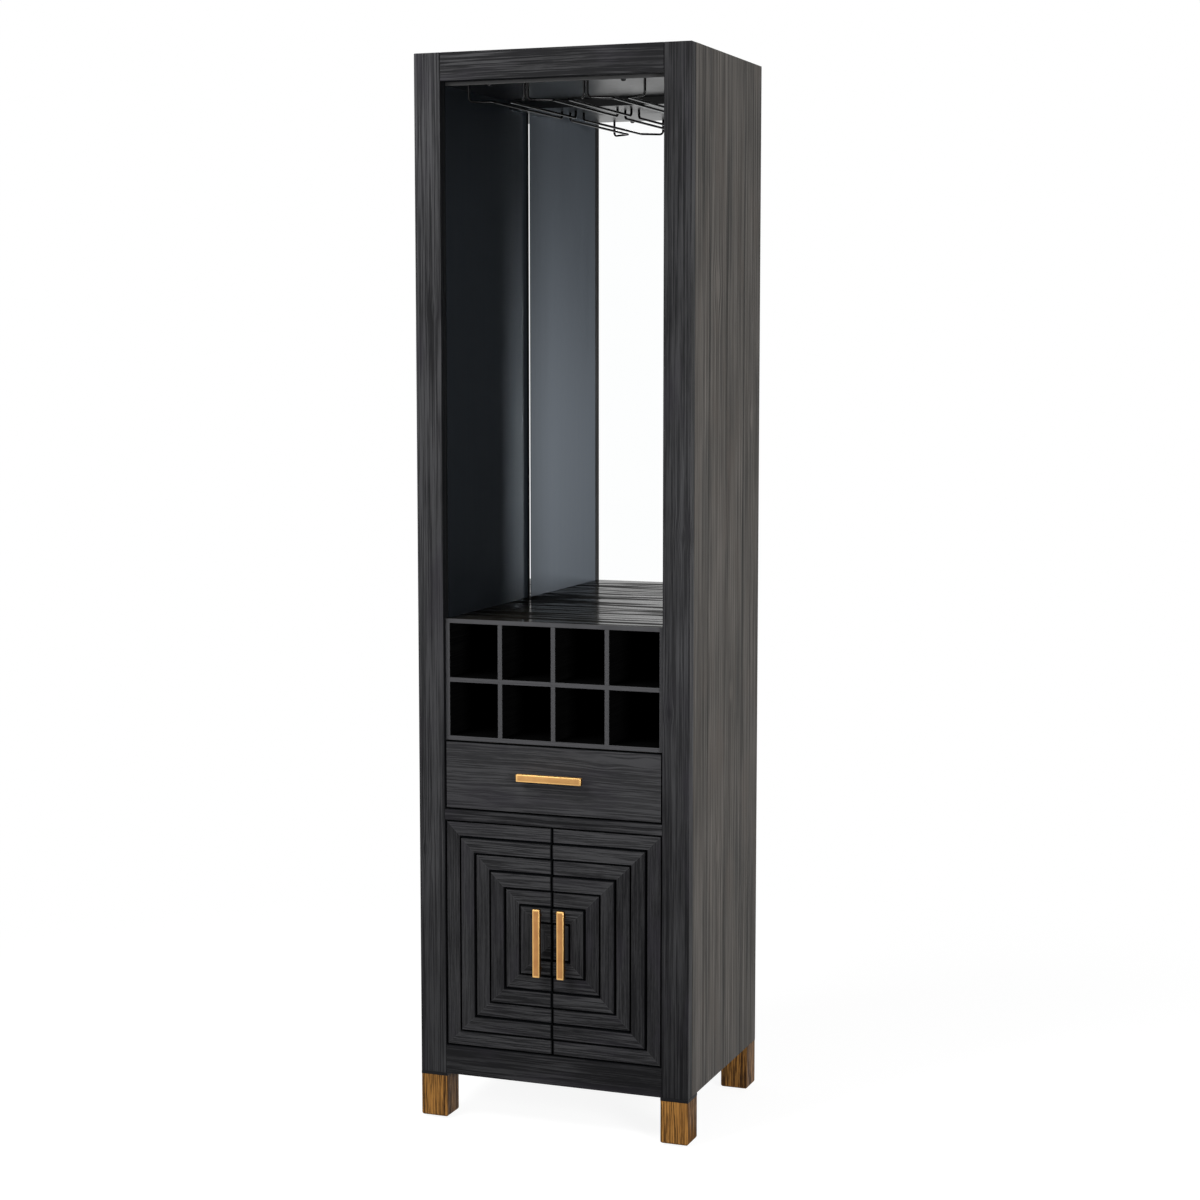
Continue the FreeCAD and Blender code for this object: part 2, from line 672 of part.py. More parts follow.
def handle(owner, x, z, face, upright):
    """A square bar with rounded edges on two round posts, tapped for its screws."""
    half_width = handle_width / 2
    half_x, half_z = (half_width, handle_half) if upright else (handle_half, half_width)
    foot = face - handle_standoff
    pieces = [board(f"{owner}_bar", (x - half_x, x + half_x), (face - handle_reach, foot),
                    (z - half_z, z + half_z), handle_round)]
    bores = []
    for side, sign in SIDES:
        at_x, at_z = (x, z + sign * post_reach) if upright else (x + sign * post_reach, z)
        pieces.append(rod(f"{owner}_{side}_post", handle_post_radius, handle_standoff,
                          (at_x, foot, at_z), ALONG_Y))
        bores.append(rod(f"{owner}_{side}_bore", screw_radius, screw_grip,
                         (at_x, face - screw_grip, at_z), ALONG_Y))
    pull = doc.addObject("Part::MultiFuse", f"{owner}_pull")
    pull.Shapes = pieces
    finish(drilled(pull, bores), f"{owner}_handle")


def strip(name, corner, length, width, thickness, turn, mitres):
    """One strip, its front edges eased: local X along it, local Y towards the door's middle."""
    block = wedge(name, {"Xmin": 0, "Xmax": length, "X2min": mitres[0], "X2max": length - mitres[1],
                         "Zmin": 0, "Zmax": thickness, "Z2min": 0, "Z2max": thickness,
                         "Ymin": 0, "Ymax": width})
    rotation = about("y", turn).multiply(ALONG_Y)
    place(block, *corner, rotation)
    run = rotation.multVec(FreeCAD.Vector(1, 0, 0))
    half_depth = corner[1].value + thickness.value / 2

    def long_front_edge(edge):
        along = edge.tangentAt(edge.FirstParameter)
        return edge.BoundBox.YMax < half_depth and along.cross(run).Length < PARALLEL

    return rounded(block, strip_round, long_front_edge)


def door_strips(owner, sign, posts):
    """Rings of mitred strips round a centre block, every second ring raised."""
    levels = {"low": [], "raised": []}
    square = Size.of(0)
    for ring in range(DOOR_RINGS):
        level, face = ("raised", raised_face) if ring % 2 else ("low", low_face)
        thick = door_face - face
        in_x = ring * (side_strip + strip_gap)
        in_z = ring * (level_strip + strip_gap)
        outside = sign * (door_edge - in_x)
        run = door_edge - door_meet - in_x
        for row, z, turn in (("top", door_high - in_z, 0), ("bottom", door_low + in_z, 180)):
            x, mitres = outside, (side_strip, square)
            if (sign < 0) != (turn == 0):
                x, mitres = sign * door_meet, (square, side_strip)
            piece = strip(f"{owner}_{row}_strip_{ring}", (x, face, z), run, level_strip, thick, turn, mitres)
            if ring == DOOR_RINGS - 1:
                piece = drilled(piece, screw_holes(f"{owner}_{row}_strip", posts, face, door_face))
            levels[level].append(piece)
        z = door_low + in_z if sign < 0 else door_high - in_z
        tall = door_high - door_low - 2 * in_z
        levels[level].append(strip(f"{owner}_side_strip_{ring}", (outside, face, z), tall, side_strip, thick,
                                   sign * 90, (level_strip, level_strip)))
    half_block = centre_height / 2
    levels["low"].append(board(f"{owner}_centre_block", mirrored(sign, door_meet, door_meet + centre_width),
                               (low_face, door_face), (door_middle - half_block, door_middle + half_block),
                               strip_round))
    for level, pieces in levels.items():
        group(f"{owner}_{level}_strips", pieces)


def door_pivots(owner, sign):
    """Shouldered pins in the door's two ends, turning in the bushes of the rails."""
    shoulder = bush_length - pivot_clearance
    collar_end = bush_length + front_gap - 2 * pivot_clearance
    tip = collar_end + pivot_seat
    section = [(0, 0), (pivot_radius, 0), (pivot_radius, shoulder), (bush_radius, shoulder),
               (bush_radius, collar_end), (pivot_radius, collar_end), (pivot_radius, tip), (0, tip)]
    x = sign * pivot_x
    lower = turned(f"{owner}_lower_pin", section, (x, pivot_y, door_low - collar_end))
    upper = turned(f"{owner}_upper_pin", section, (x, pivot_y, door_high + collar_end), UPSIDE_DOWN)
    group(f"{owner}_pivots", [lower, upper])


def door(owner, sign):
    """Panel with its strips, pivots, strike plate, handle and screws."""
    handle_x = sign * (door_meet + handle_inset)
    posts = [(handle_x, door_middle + step * post_reach) for _, step in SIDES]
    blank = board(f"{owner}_blank", mirrored(sign, door_meet, door_edge), (door_face, door_back),
                  (door_low, door_high), board_round)
    sockets = [rod(f"{owner}_{end}_socket", pivot_radius + pivot_clearance, pivot_seat,
                   (sign * pivot_x, pivot_y, z))
               for end, z in (("lower", door_low), ("upper", door_high - pivot_seat))]
    finish(drilled(blank, sockets + screw_holes(owner, posts, door_face, door_back)), f"{owner}_panel")
    door_strips(owner, sign, posts)
    door_pivots(owner, sign)
    strike_x = door_meet + strike_inset
    strike = board(f"{owner}_strike_plate", mirrored(sign, strike_x, strike_x + strike_width),
                   (door_back, door_back + strike_thickness),
                   (door_high - catch_drop, door_high - strike_inset))
    finish(strike, f"{owner}_strike")
    handle(owner, handle_x, door_middle, raised_face, True)
    handle_screws(owner, posts, raised_face, door_back)


def cupboard():
    """Floor, dust board, loose shelf on pins, pivot bushes and the double catch."""
    depth = (frame_back, panel_front)
    across = (-inner, inner)
    finish(board("floor_board", across, depth, (floor_top - floor_thickness, floor_top), board_round),
           "cupboard_floor")
    finish(board("dust_panel", across, depth, (dust_under, drawer_sill)), "dust_board")
    reach = inner - shelf_play
    shelf = board("shelf_board", (-reach, reach), (shelf_front, shelf_back),
                  (shelf_low, shelf_low + shelf_thickness), board_round)
    finish(shelf, "cupboard_shelf")
    pins = []
    for side, sign in SIDES:
        x = inner - shelf_pin_reach if sign > 0 else -inner - shelf_pin_seat
        pins += [rod(f"{side}_{end}_shelf_pin", shelf_pin_radius, shelf_pin_seat + shelf_pin_reach,
                     (x, y, shelf_pin_z), ALONG_X) for end, y in shelf_pin_y.items()]
    group("shelf_pins", pins)
    bore = pivot_radius + pivot_clearance
    section = [(bore, 0), (bush_radius, 0), (bush_radius, bush_length), (bore, bush_length)]
    lows = {"upper": door_head, "lower": floor_top - bush_length}
    group("pivot_bushes", [turned(f"{end}_{side}_bush", section, (sign * pivot_x, pivot_y, low))
                           for end, low in lows.items() for side, sign in SIDES])
    nose_front = door_back + strike_thickness + catch_gap
    catch_back = frame_back + catch_depth
    catch_low = door_high - catch_drop
    profile = [(nose_front, catch_low), (catch_back, catch_low), (catch_back, dust_under),
               (frame_back, dust_under), (frame_back, door_high), (nose_front, door_high)]
    finish(prism("catch_body", "YZ", profile, catch_width, (-catch_width / 2, 0, 0)), "door_catch")


def legs():
    """Square legs on glides, bolted up into the corner posts; spacers over the front two."""
    spacers = []
    bolts = []
    glides = []
    section = [(0, 0), (glide_radius, 0), (glide_radius, glide_height), (glide_pin_radius, glide_height),
               (glide_pin_radius, glide_height + glide_pin_length), (0, glide_height + glide_pin_length)]
    bolt_hole = bolt_radius + bolt_clearance
    for end, start in leg_start.items():
        packing = leg_spacer if end == "front" else Size.of(0)
        top = base_height - packing
        y = (start, start + leg_width)

        def upright(edge):
            return edge.BoundBox.ZLength > PARALLEL

        def underneath(edge):
            return edge.BoundBox.ZMax < glide_height.value + PARALLEL

        for side, sign in SIDES:
            x = mirrored(sign, outer - leg_width, outer)
            bolt_at = (sign * bolt_x, bolt_y[end])
            centre = (sign * (outer - leg_width / 2), start + leg_width / 2)
            stock = board(f"{end}_{side}_leg_stock", x, y, (glide_height, top))
            leg = rounded(rounded(stock, leg_round, upright), leg_foot_round, underneath)
            holes = [rod(f"{end}_{side}_bolt_hole", bolt_hole, bolt_seat, (*bolt_at, top - bolt_seat)),
                     rod(f"{end}_{side}_nail_hole", glide_pin_radius + bolt_clearance, glide_pin_length,
                         (*centre, glide_height))]
            finish(drilled(leg, holes), f"{end}_{side}_leg")
            bolts.append(rod(f"{end}_{side}_bolt", bolt_radius, 2 * bolt_seat + packing,
                             (*bolt_at, top - bolt_seat)))
            glides.append(turned(f"{end}_{side}_glide", section, (*centre, 0)))
            if end == "front":
                pad = board(f"{side}_spacer_stock", x, y, (top, base_height), board_round)
                hole = rod(f"{side}_spacer_hole", bolt_hole, packing, (*bolt_at, top))
                spacers.append(drilled(pad, [hole]))
    group("leg_spacers", spacers)
    group("leg_bolts", bolts)
    group("leg_glides", glides)


front_frame()
outside_walls()
inner_walls()
top_and_back()
mirror_glass()
bottle_rack()
glass_rack()
drawer()
runners()
for side_name, side_sign in SIDES:
    door(f"{side_name}_door", side_sign)
cupboard()
legs()
doc.recompute()

for thing in doc.Objects:
    if "Invalid" in thing.State or "Error" in thing.State:
        raise RuntimeError(f"{thing.Label} failed: {thing.State}")
for thing in sub_parts:
    if thing.Shape.isNull() or not thing.Shape.isValid():
        raise RuntimeError(f"{thing.Label} has no valid shape")

os.makedirs("parts", exist_ok=True)
for thing in sub_parts:
    thing.Shape.exportStep(f"parts/{thing.Label}.step")
    print(thing.Label, len(thing.Shape.Solids), round(thing.Shape.Volume))
print(len(sub_parts), "sub-parts")
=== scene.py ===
"""Looks of a tall drinks cabinet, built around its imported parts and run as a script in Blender."""

import math

import bmesh
import bpy
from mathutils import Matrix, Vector


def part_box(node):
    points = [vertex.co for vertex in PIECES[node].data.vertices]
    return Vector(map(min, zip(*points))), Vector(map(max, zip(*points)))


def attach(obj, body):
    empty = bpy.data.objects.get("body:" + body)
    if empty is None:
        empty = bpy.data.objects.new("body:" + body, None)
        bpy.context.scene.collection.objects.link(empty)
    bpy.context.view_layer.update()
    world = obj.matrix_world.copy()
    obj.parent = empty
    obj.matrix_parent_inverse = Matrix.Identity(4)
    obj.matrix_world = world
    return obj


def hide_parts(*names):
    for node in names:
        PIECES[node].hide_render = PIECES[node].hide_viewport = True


bl_info = {
    "name": "Drinks cabinet looks",
    "version": (1, 0, 0),
    "blender": (4, 5, 0),
    "location": "3D View > Sidebar > Cabinet",
    "description": "Finishes, wire glass rack, bar handles and stage for a tall drinks cabinet",
    "category": "Object",
}

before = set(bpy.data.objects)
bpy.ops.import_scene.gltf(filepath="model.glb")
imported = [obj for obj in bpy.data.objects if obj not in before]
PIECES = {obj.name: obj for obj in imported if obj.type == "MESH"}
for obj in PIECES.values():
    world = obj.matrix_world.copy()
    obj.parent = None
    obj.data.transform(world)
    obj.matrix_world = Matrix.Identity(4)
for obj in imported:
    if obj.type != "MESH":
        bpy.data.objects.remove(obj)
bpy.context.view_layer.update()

SIDES = ("left", "right")
SLOTS = ("left", "middle", "right")
OWNERS = ("drawer", "left_door", "right_door")
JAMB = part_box("right_stile")[0].x
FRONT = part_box("left_stile")[0].y
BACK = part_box("back_panel")[1].y

# A point this near to a face counts as lying on it
EDGE_DEPTH = 0.001

# Rails: lift of their tone, a painted light and shade that sets the brightness of each of these like-finished
# rails, and which of their level edges are open and take painted shadow, 0 for the low and 1 for the high one
RAILS = {"top_rail": (-0.28, (0,)), "middle_rail": (-0.02, (0, 1)), "bottom_rail": (-0.32, (1,))}

# Boards of the walls and the top; board, part of its width, height and radius of each knot of the right wall;
# and how much lower the knots of the left wall lie
WALL_BOARDS = 4
WALL_GRAIN = {"lines": 230.0, "run": 1.8, "wave": 0.005, "crisp": 0.2, "bands": 0.30, "flecks": 0.15,
              "cracks": 0.35}
WALL_KNOTS = ((1, 0.45, 1.66, 0.024), (3, 0.50, 1.40, 0.022), (2, 0.35, 0.86, 0.020), (1, 0.60, 0.55, 0.018))
LEFT_KNOT_DROP = 0.19

# Knots: length for a width of 1, and how far they push the grain aside
KNOT_LENGTH = 2.2
KNOT_PUSH = 0.85

# Dim sector of the surroundings: its flat direction, the cosines between which it sets in, and its depth
DIM_WAY = (0.643, -0.766, 0.0)
DIM_EDGE = (0.777, 0.799)
DIM_DEPTH = 0.97

# Sides of round pieces, and how meshes are mended and shaded
ROUND_SIDES = 32
MERGE_DISTANCE = 0.00001
SMOOTH_ANGLE = math.radians(40.0)


def colour_of(label, note, default):
    """A colour that a user can change."""
    return bpy.props.FloatVectorProperty(
        name=label, description=note, subtype="COLOR", size=3, min=0.0, max=1.0, default=default)


def length_of(label, note, default):
    """A length that a user can change."""
    return bpy.props.FloatProperty(name=label, description=note, unit="LENGTH", default=default)


def spread_of(label, note, default):
    """A width and height that a user can change."""
    return bpy.props.FloatVectorProperty(name=label, description=note, unit="LENGTH", size=2, default=default)


def place_of(label, note, default):
    """A place that a user can change."""
    return bpy.props.FloatVectorProperty(
        name=label, description=note, subtype="TRANSLATION", size=3, default=default)


class CabinetFinishes(bpy.types.PropertyGroup):
    """Colours of the finishes."""

    hollow: colour_of("Charcoal hollow", "Brushed front: between the grain lines", (0.008, 0.008, 0.009))
    ridge: colour_of("Charcoal ridge", "Brushed front: on the grain lines", (0.053, 0.053, 0.056))
    blotch: colour_of("Charcoal blotch", "Brushed front: where the stain is uneven", (0.026, 0.024, 0.030))
    wall_hollow: colour_of("Wall hollow", "Outside walls: between the grain lines", (0.022, 0.021, 0.019))
    wall_ridge: colour_of("Wall ridge", "Outside walls: on the grain lines", (0.112, 0.100, 0.089))
    wall_blotch: colour_of("Wall blotch", "Outside walls: where the stain is uneven", (0.078, 0.064, 0.054))
    liner: colour_of("Liner", "Smooth inner walls and ceiling", (0.0012, 0.0016, 0.0022))
    # Painted highlight: the ceiling's front edge made lighter, as if lit
    ceiling_edge_highlight: colour_of("Ceiling edge", "Front edge of the ceiling", (0.055, 0.055, 0.056))
    deck_hollow: colour_of("Deck hollow", "Lacquered deck and bottle rack: between the grain lines",
                           (0.003, 0.003, 0.003))
    deck_ridge: colour_of("Deck ridge", "Lacquered deck and bottle rack: on the grain lines",
                          (0.020, 0.018, 0.014))
    # Partly painted shade: the rack's black paint made darker still, standing for the shade deep in the cells
    cell: colour_of("Bottle cell", "Inside of the bottle rack", (0.0008, 0.0008, 0.0009))
    # Painted highlight on the lit front edges of the bottle rack and deck
    rack_edge_highlight: colour_of("Rack edge", "Front edges of the bottle rack and deck", (0.085, 0.085, 0.090))
    leg_pale: colour_of("Leg", "Brown legs: the wood between the grain lines", (0.46, 0.216, 0.052))
    leg_grain: colour_of("Leg grain", "Brown legs: the dark grain lines", (0.040, 0.017, 0.005))
    leg_blotch: colour_of("Leg blotch", "Brown legs: where the stain is uneven", (0.20, 0.088, 0.022))
    # Brass shows on the rubbed edges of the handles, which also carry a painted highlight
    brass: colour_of("Brass", "Handles where they are rubbed bright", (0.82, 0.50, 0.185))
    patina: colour_of("Patina", "Handles where the brass has browned", (0.40, 0.185, 0.068))
    pine: colour_of("Pine", "Plain wood of the drawer box and hidden frame", (0.50, 0.34, 0.19))
    pine_grain: colour_of("Pine grain", "Plain wood: its grain lines", (0.38, 0.22, 0.10))
    pine_blotch: colour_of("Pine blotch", "Plain wood: its darker patches", (0.44, 0.28, 0.15))
    mirror: colour_of("Mirror", "Silvered glass", (0.975, 0.985, 0.985))
    mirror_bloom: colour_of("Mirror bloom", "Silvered glass: its clearest patches", (0.99, 0.995, 0.995))
    wire: colour_of("Wire", "Glass rack", (0.001, 0.001, 0.001))
    wire_speck: colour_of("Wire speck", "Glass rack: its paler specks", (0.003, 0.003, 0.003))
    steel: colour_of("Steel", "Steel fittings", (0.42, 0.42, 0.43))
    steel_grain: colour_of("Steel grain", "Steel fittings: their paler grain", (0.60, 0.60, 0.62))
    plastic: colour_of("Plastic", "Plastic fittings", (0.010, 0.010, 0.011))
    plastic_grain: colour_of("Plastic grain", "Plastic fittings: their paler grain", (0.020, 0.020, 0.021))


class CabinetFittings(bpy.types.PropertyGroup):
    """Sizes of the fittings that are modelled here."""

    wire_radius: length_of("Wire radius", "Glass rack wire", 0.0025)
    wire_bend: length_of("Wire bend", "Bend radius on the wire's centre line", 0.008)
    slot_half: length_of("Slot half", "Slot centre to rail", 0.0151)
    flare: length_of("Flare", "Flared mouth of a slot, front to back", 0.026)
    stud_radius: length_of("Stud radius", "Screw heads under the ceiling", 0.005)
    stud_height: length_of("Stud height", "Screw heads under the ceiling", 0.004)
    stud_reach: length_of("Stud reach", "Screw heads from the middle of the ceiling", 0.137)
    bar_thickness: length_of("Bar thickness", "Handle bar, front to back", 0.010)
    bar_chamfer: length_of("Bar chamfer", "Chamfer of the handle bars", 0.0016)
    post_radius: length_of("Post radius", "Handle posts", 0.0045)
    post_inset: length_of("Post inset", "Handle post from the bar's end", 0.0148)
    mirror_bevel: length_of("Mirror bevel", "Width of the mirror's polished bevels", 0.004)
    strip_pitch: length_of("Strip pitch", "One door strip and its groove", 0.0318)


class CabinetStage(bpy.types.PropertyGroup):
    """Camera, light and floor."""

    camera_place: place_of("Camera", "Camera position", (1.7186, -4.5025, 1.5441))
    camera_turn: bpy.props.FloatVectorProperty(
        name="Camera turn", description="Camera rotation", subtype="EULER", size=3,
        default=(math.radians(84.0), 0.0, math.radians(20.65)))
    sensor: bpy.props.FloatProperty(name="Sensor", description="Sensor width in millimetres", default=36.0)
    lens: bpy.props.FloatProperty(name="Lens", description="Focal length in millimetres", default=72.14)
    ambient: bpy.props.FloatProperty(
        name="Ambient", description="Strength of the light from all round", default=0.32)
    aim: place_of("Aim", "Point that the lights are turned to", (0.0, 0.0, 1.2))
    key_place: place_of("Key place", "Light at the front left", (-1.2, -1.9, 3.0))
    key_spread: spread_of("Key spread", "Light at the front left", (1.4, 1.4))
    key: bpy.props.FloatProperty(
        name="Key", description="Power of the light at the front left", unit="POWER", default=62.0)
    fill_place: place_of("Fill place", "Light at the front right", (2.43, -2.175, 1.15))
    fill_spread: spread_of("Fill spread", "Light at the front right", (1.0, 0.9))
    fill: bpy.props.FloatProperty(
        name="Fill", description="Power of the light at the front right", unit="POWER", default=70.0)
    floor: length_of("Floor", "Width of the floor", 60.0)


class Signal:
    """The output of a node: arithmetic on it adds Math nodes."""

    def __init__(self, shading, socket):
        self.shading = shading
        self.socket = socket

    def math(self, operation, *values):
        return self.shading.signal("ShaderNodeMath", {"operation": operation}, dict(enumerate(values)))

    def __add__(self, other):
        return self.math("ADD", self, other)

    def __sub__(self, other):
        return self.math("SUBTRACT", self, other)

    def __rsub__(self, other):
        return self.math("SUBTRACT", other, self)

    def __mul__(self, other):
        return self.math("MULTIPLY", self, other)

    def __truediv__(self, other):
        return self.math("DIVIDE", self, other)

    def __abs__(self):
        return self.math("ABSOLUTE", self)

    def exp(self):
        return self.math("EXPONENT", self)

    def floor(self):
        return self.math("FLOOR", self)

    def above(self, other):
        return self.math("GREATER_THAN", self, other)

    def most(self, other):
        return self.math("MAXIMUM", self, other)

    def least(self, other):
        return self.math("MINIMUM", self, other)

    def between(self, low, high):
        """Stretches 0 to 1 over low to high."""
        return self * (high - low) + low

    def rise(self, low, high):
        """0 below low, 1 above high, smooth between."""
        return self.shading.signal("ShaderNodeMapRange", {"interpolation_type": "SMOOTHSTEP"},
                                   {"Value": self, "From Min": low, "From Max": high})


class Shading:
    """A node tree in the making."""

    def __init__(self, tree):
        self.tree = tree
        self.tree.nodes.clear()

    def feed(self, socket, value):
        """Links a socket to a signal, or sets its constant."""
        if isinstance(value, Signal):
            self.tree.links.new(value.socket, socket)
        elif socket.type == "RGBA":
            socket.default_value = (*value, 1.0)
        else:
            socket.default_value = value

    def node(self, kind, settings=None, sockets=None):
        """Any node: its settings first, then the values or links of its sockets."""
        node = self.tree.nodes.new(kind)
        for name, value in (settings or {}).items():
            setattr(node, name, value)
        for key, value in (sockets or {}).items():
            self.feed(node.inputs[key], value)
        return node

    def signal(self, kind, settings=None, sockets=None, output=0):
        """One output of a new node."""
        return Signal(self, self.node(kind, settings, sockets).outputs[output])

    def seen(self):
        """1 on rays that show the background: straight, mirrored or through glass."""
        path = self.node("ShaderNodeLightPath")
        camera, glossy, glass = (Signal(self, path.outputs[f"Is {name} Ray"])
                                 for name in ("Camera", "Glossy", "Transmission"))
        return camera.most(glossy).most(glass)

    def lit(self, way):
        """1, but low in the dim sector for rays that come neither straight nor by one sharp mirror."""
        path = self.node("ShaderNodeLightPath")
        camera, sharp, bounces = (Signal(self, path.outputs[name])
                                  for name in ("Is Camera Ray", "Is Singular Ray", "Ray Depth"))
        straight = camera.most(sharp * (1 - bounces.above(1.5)))
        ground = self.signal("ShaderNodeVectorMath", {"operation": "MULTIPLY"}, {0: way, 1: (1.0, 1.0, 0.0)})
        ground = self.signal("ShaderNodeVectorMath", {"operation": "NORMALIZE"}, {0: ground})
        cosine = self.signal(
            "ShaderNodeVectorMath", {"operation": "DOT_PRODUCT"}, {0: ground, 1: DIM_WAY}, "Value")
        return 1 - cosine.rise(*DIM_EDGE) * (1 - straight) * DIM_DEPTH


class Finish(Shading):
    """A material with one surface, patterned in the object's own coordinates."""

    def __init__(self, name):
        self.material = bpy.data.materials.new(name)
        self.material.use_nodes = True
        super().__init__(self.material.node_tree)
        self.shader = self.node("ShaderNodeBsdfPrincipled")
        self.node("ShaderNodeOutputMaterial", None, {"Surface": Signal(self, self.shader.outputs[0])})
        place = self.signal("ShaderNodeTexCoord", output="Object")
        split = self.node("ShaderNodeSeparateXYZ", None, {0: place})
        self.x, self.y, self.z = (Signal(self, socket) for socket in split.outputs)

    def noise(self, x, y, z, detail=2.0, roughness=0.5):
        """Noise from 0 to 1 with features of one unit: a factor on a place is features in a metre."""
        place = self.signal("ShaderNodeCombineXYZ", None, {0: x, 1: y, 2: z})
        return self.signal("ShaderNodeTexNoise", None, {
            "Vector": place, "Scale": 1.0, "Detail": detail, "Roughness": roughness})

    def chance(self, number, seed):
        """One value from 0 to 1 for each number."""
        return self.signal("ShaderNodeTexWhiteNoise", {"noise_dimensions": "1D"}, {"W": number + seed})

    def blend(self, first, second, factor):
        """A colour between two others."""
        return self.signal("ShaderNodeMix", {"data_type": "RGBA"}, {0: factor, 6: first, 7: second}, 2)

    def bump(self, height, distance):
        """Relief of the surface, with heights from 0 to 1."""
        return self.signal("ShaderNodeBump", None, {"Height": height, "Distance": distance})

    def surface(self, **sockets):
        """Sets the surface's sockets, named with underscores, and gives the material."""
        for name, value in sockets.items():
            self.feed(self.shader.inputs[name.replace("_", " ")], value)
        return self.material


def dress(material, *nodes):
    """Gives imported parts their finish."""
    for name in nodes:
        PIECES[name].data.materials.clear()
        PIECES[name].data.materials.append(material)


def around_knots(along, across, lean, knots):
    """Grain pushed aside by knots, and the nearness of a knot's eye, from 0 to 1."""
    eye = None
    for place, height, radius in knots:
        reach = (along - place) / KNOT_LENGTH
        rise = across - height
        near = ((reach * reach + rise * rise) * (-1.0 / radius ** 2)).exp()
        lean = lean - rise * near * KNOT_PUSH
        eye = near if eye is None else eye.most(near)
    return lean, eye


def brushed(name, axes, colours, seed, lines=330.0, run=6.0, wave=0.006, crisp=0.10, bands=0.18, flecks=0.0,
            cracks=0.10, knots=(), knot_depth=0.18, lift=0.0, tone=None, worn=None, patch=None, gloss=0.10,
            relief=0.0006):
    """Stained and wire-brushed wood: raised lines along the grain, broader bands, clouds and blotches.

    lines, run: grain lines in a metre across the grain, and changes in a metre along it
    wave, crisp: how far the lines wander, and half the width of the step from hollow to ridge
    bands, flecks, cracks: how much these show
    knots, knot_depth: place along, place across and radius of each knot, and how dark its eye is
    lift, tone, worn: lightness all over, lightness by place and contrast by place
    patch: a test by place, and the colour where it gives 1
    """
    finish = Finish(name)
    along, across, depth = axes(finish)
    drift = finish.noise(across * 6.0 + seed, along * 2.4, depth * 6.0)
    lean, eye = around_knots(along, across, across + drift.between(-wave, wave), knots)
    fine = finish.noise(lean * lines + seed, along * run, depth * lines, roughness=0.6)
    fine = fine.rise(0.5 - crisp, 0.5 + crisp)
    if worn is not None:
        fine = (fine - 0.5) * worn(finish) + 0.5
    close = lines * 2.5
    scratch = finish.noise(lean * close, along * (run * 8.0) + seed, depth * close)
    band = finish.noise(lean * 55.0 - seed, along * (run * 0.25), depth * 55.0).rise(0.3, 0.7)
    cloud = finish.noise(across * 11.0, along * 4.5 + seed, depth * 11.0, detail=3.0).rise(0.25, 0.75)
    stain = finish.noise(across * 17.0 - seed, along * 6.0, depth * 17.0, detail=3.0).rise(0.50, 0.75)
    crack = finish.noise(lean * 65.0 + seed, along * (run * 0.3), depth * 65.0 - seed,
                         detail=3.0, roughness=0.6).rise(0.55, 0.68)
    ridge = fine * cloud.between(0.45, 1.0) + band * bands + cloud * 0.10 + (scratch - 0.5) * 0.7
    ridge = ridge - crack * cracks + (lift - 0.10)
    if flecks:
        ridge = ridge + scratch.rise(0.58, 0.72) * flecks
    if tone is not None:
        ridge = ridge + tone(finish)
    if eye is not None:
        ridge = ridge - eye.rise(0.60, 1.0) * knot_depth
    hollow, crest, blotch = colours
    colour = finish.blend(hollow, crest, ridge.most(0.0).least(1.0))
    colour = finish.blend(colour, blotch, stain * 0.55)
    if patch is not None:
        test, patch_colour = patch
        colour = finish.blend(colour, patch_colour, test(finish) * scratch.between(0.75, 1.0))
    return finish.surface(
        Base_Color=colour, Roughness=fine.between(0.66, 0.46), Specular_IOR_Level=gloss,
        Normal=finish.bump(fine * 0.6 + band * 0.2 + scratch * 0.2, relief))


def painted(name, colour, roughness, gloss=0.5, tint=(1.0, 1.0, 1.0), patch=None, dull=None):
    """Smooth painted board with faint brush marks and cloudy gloss, duller where a test gives 1."""
    finish = Finish(name)
    mark = finish.noise(finish.x * 60.0, finish.y * 60.0, finish.z * 2.5, detail=3.0, roughness=0.6)
    cloud = finish.noise(finish.x * 5.0, finish.y * 5.0, finish.z * 3.0, detail=3.0)
    pale = tuple(min(1.0, 1.8 * value + 0.0005) for value in colour)
    coat = finish.blend(tuple(colour), pale, mark * 0.5 + cloud * 0.5)
    if patch is not None:
        test, patch_colour = patch
        coat = finish.blend(coat, patch_colour, test(finish) * mark.between(0.7, 1.0))
    sheen = cloud * 0.10 + mark * 0.06 + (roughness - 0.08)
    if dull is not None:
        sheen = sheen + dull(finish) * 0.4
    return finish.surface(
        Base_Color=coat, Roughness=sheen, Specular_IOR_Level=gloss, Specular_Tint=tint,
        Normal=finish.bump(mark, distance=0.00006))


def upright(finish):
    """Grain up a front face."""
    return finish.z, finish.x, finish.y


def upright_side(finish):
    """Grain up a side face."""
    return finish.z, finish.y, finish.x


def level(finish):
    """Grain across a front face."""
    return finish.x, finish.z, finish.y


def flat(finish):
    """Grain across a level face."""
    return finish.x, finish.y, finish.z


def inward(finish):
    """Grain from front to back on a side face."""
    return finish.y, finish.z, finish.x


def finishes():
    """The colours of the finishes."""
    return bpy.context.scene.cabinet_finishes


def fittings():
    """The sizes of the fittings."""
    return bpy.context.scene.cabinet_fittings


def shadow(test):
    """A patch of painted shadow, in the black of the liner, where a test gives 1."""
    return test, tuple(finishes().liner)


def highlit_front_edge(node, colour):
    """A painted highlight: a patch of a named colour on the lit front edge of a part."""
    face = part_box(node)[0].y
    return (lambda f: 1 - f.y.above(face + EDGE_DEPTH)), *shades(colour)


def charcoal():
    """Colours of the brushed front."""
    return shades("hollow", "ridge", "blotch")


def shades(*names):
    """Colours of the finishes by name."""
    return tuple(tuple(getattr(finishes(), name)) for name in names)


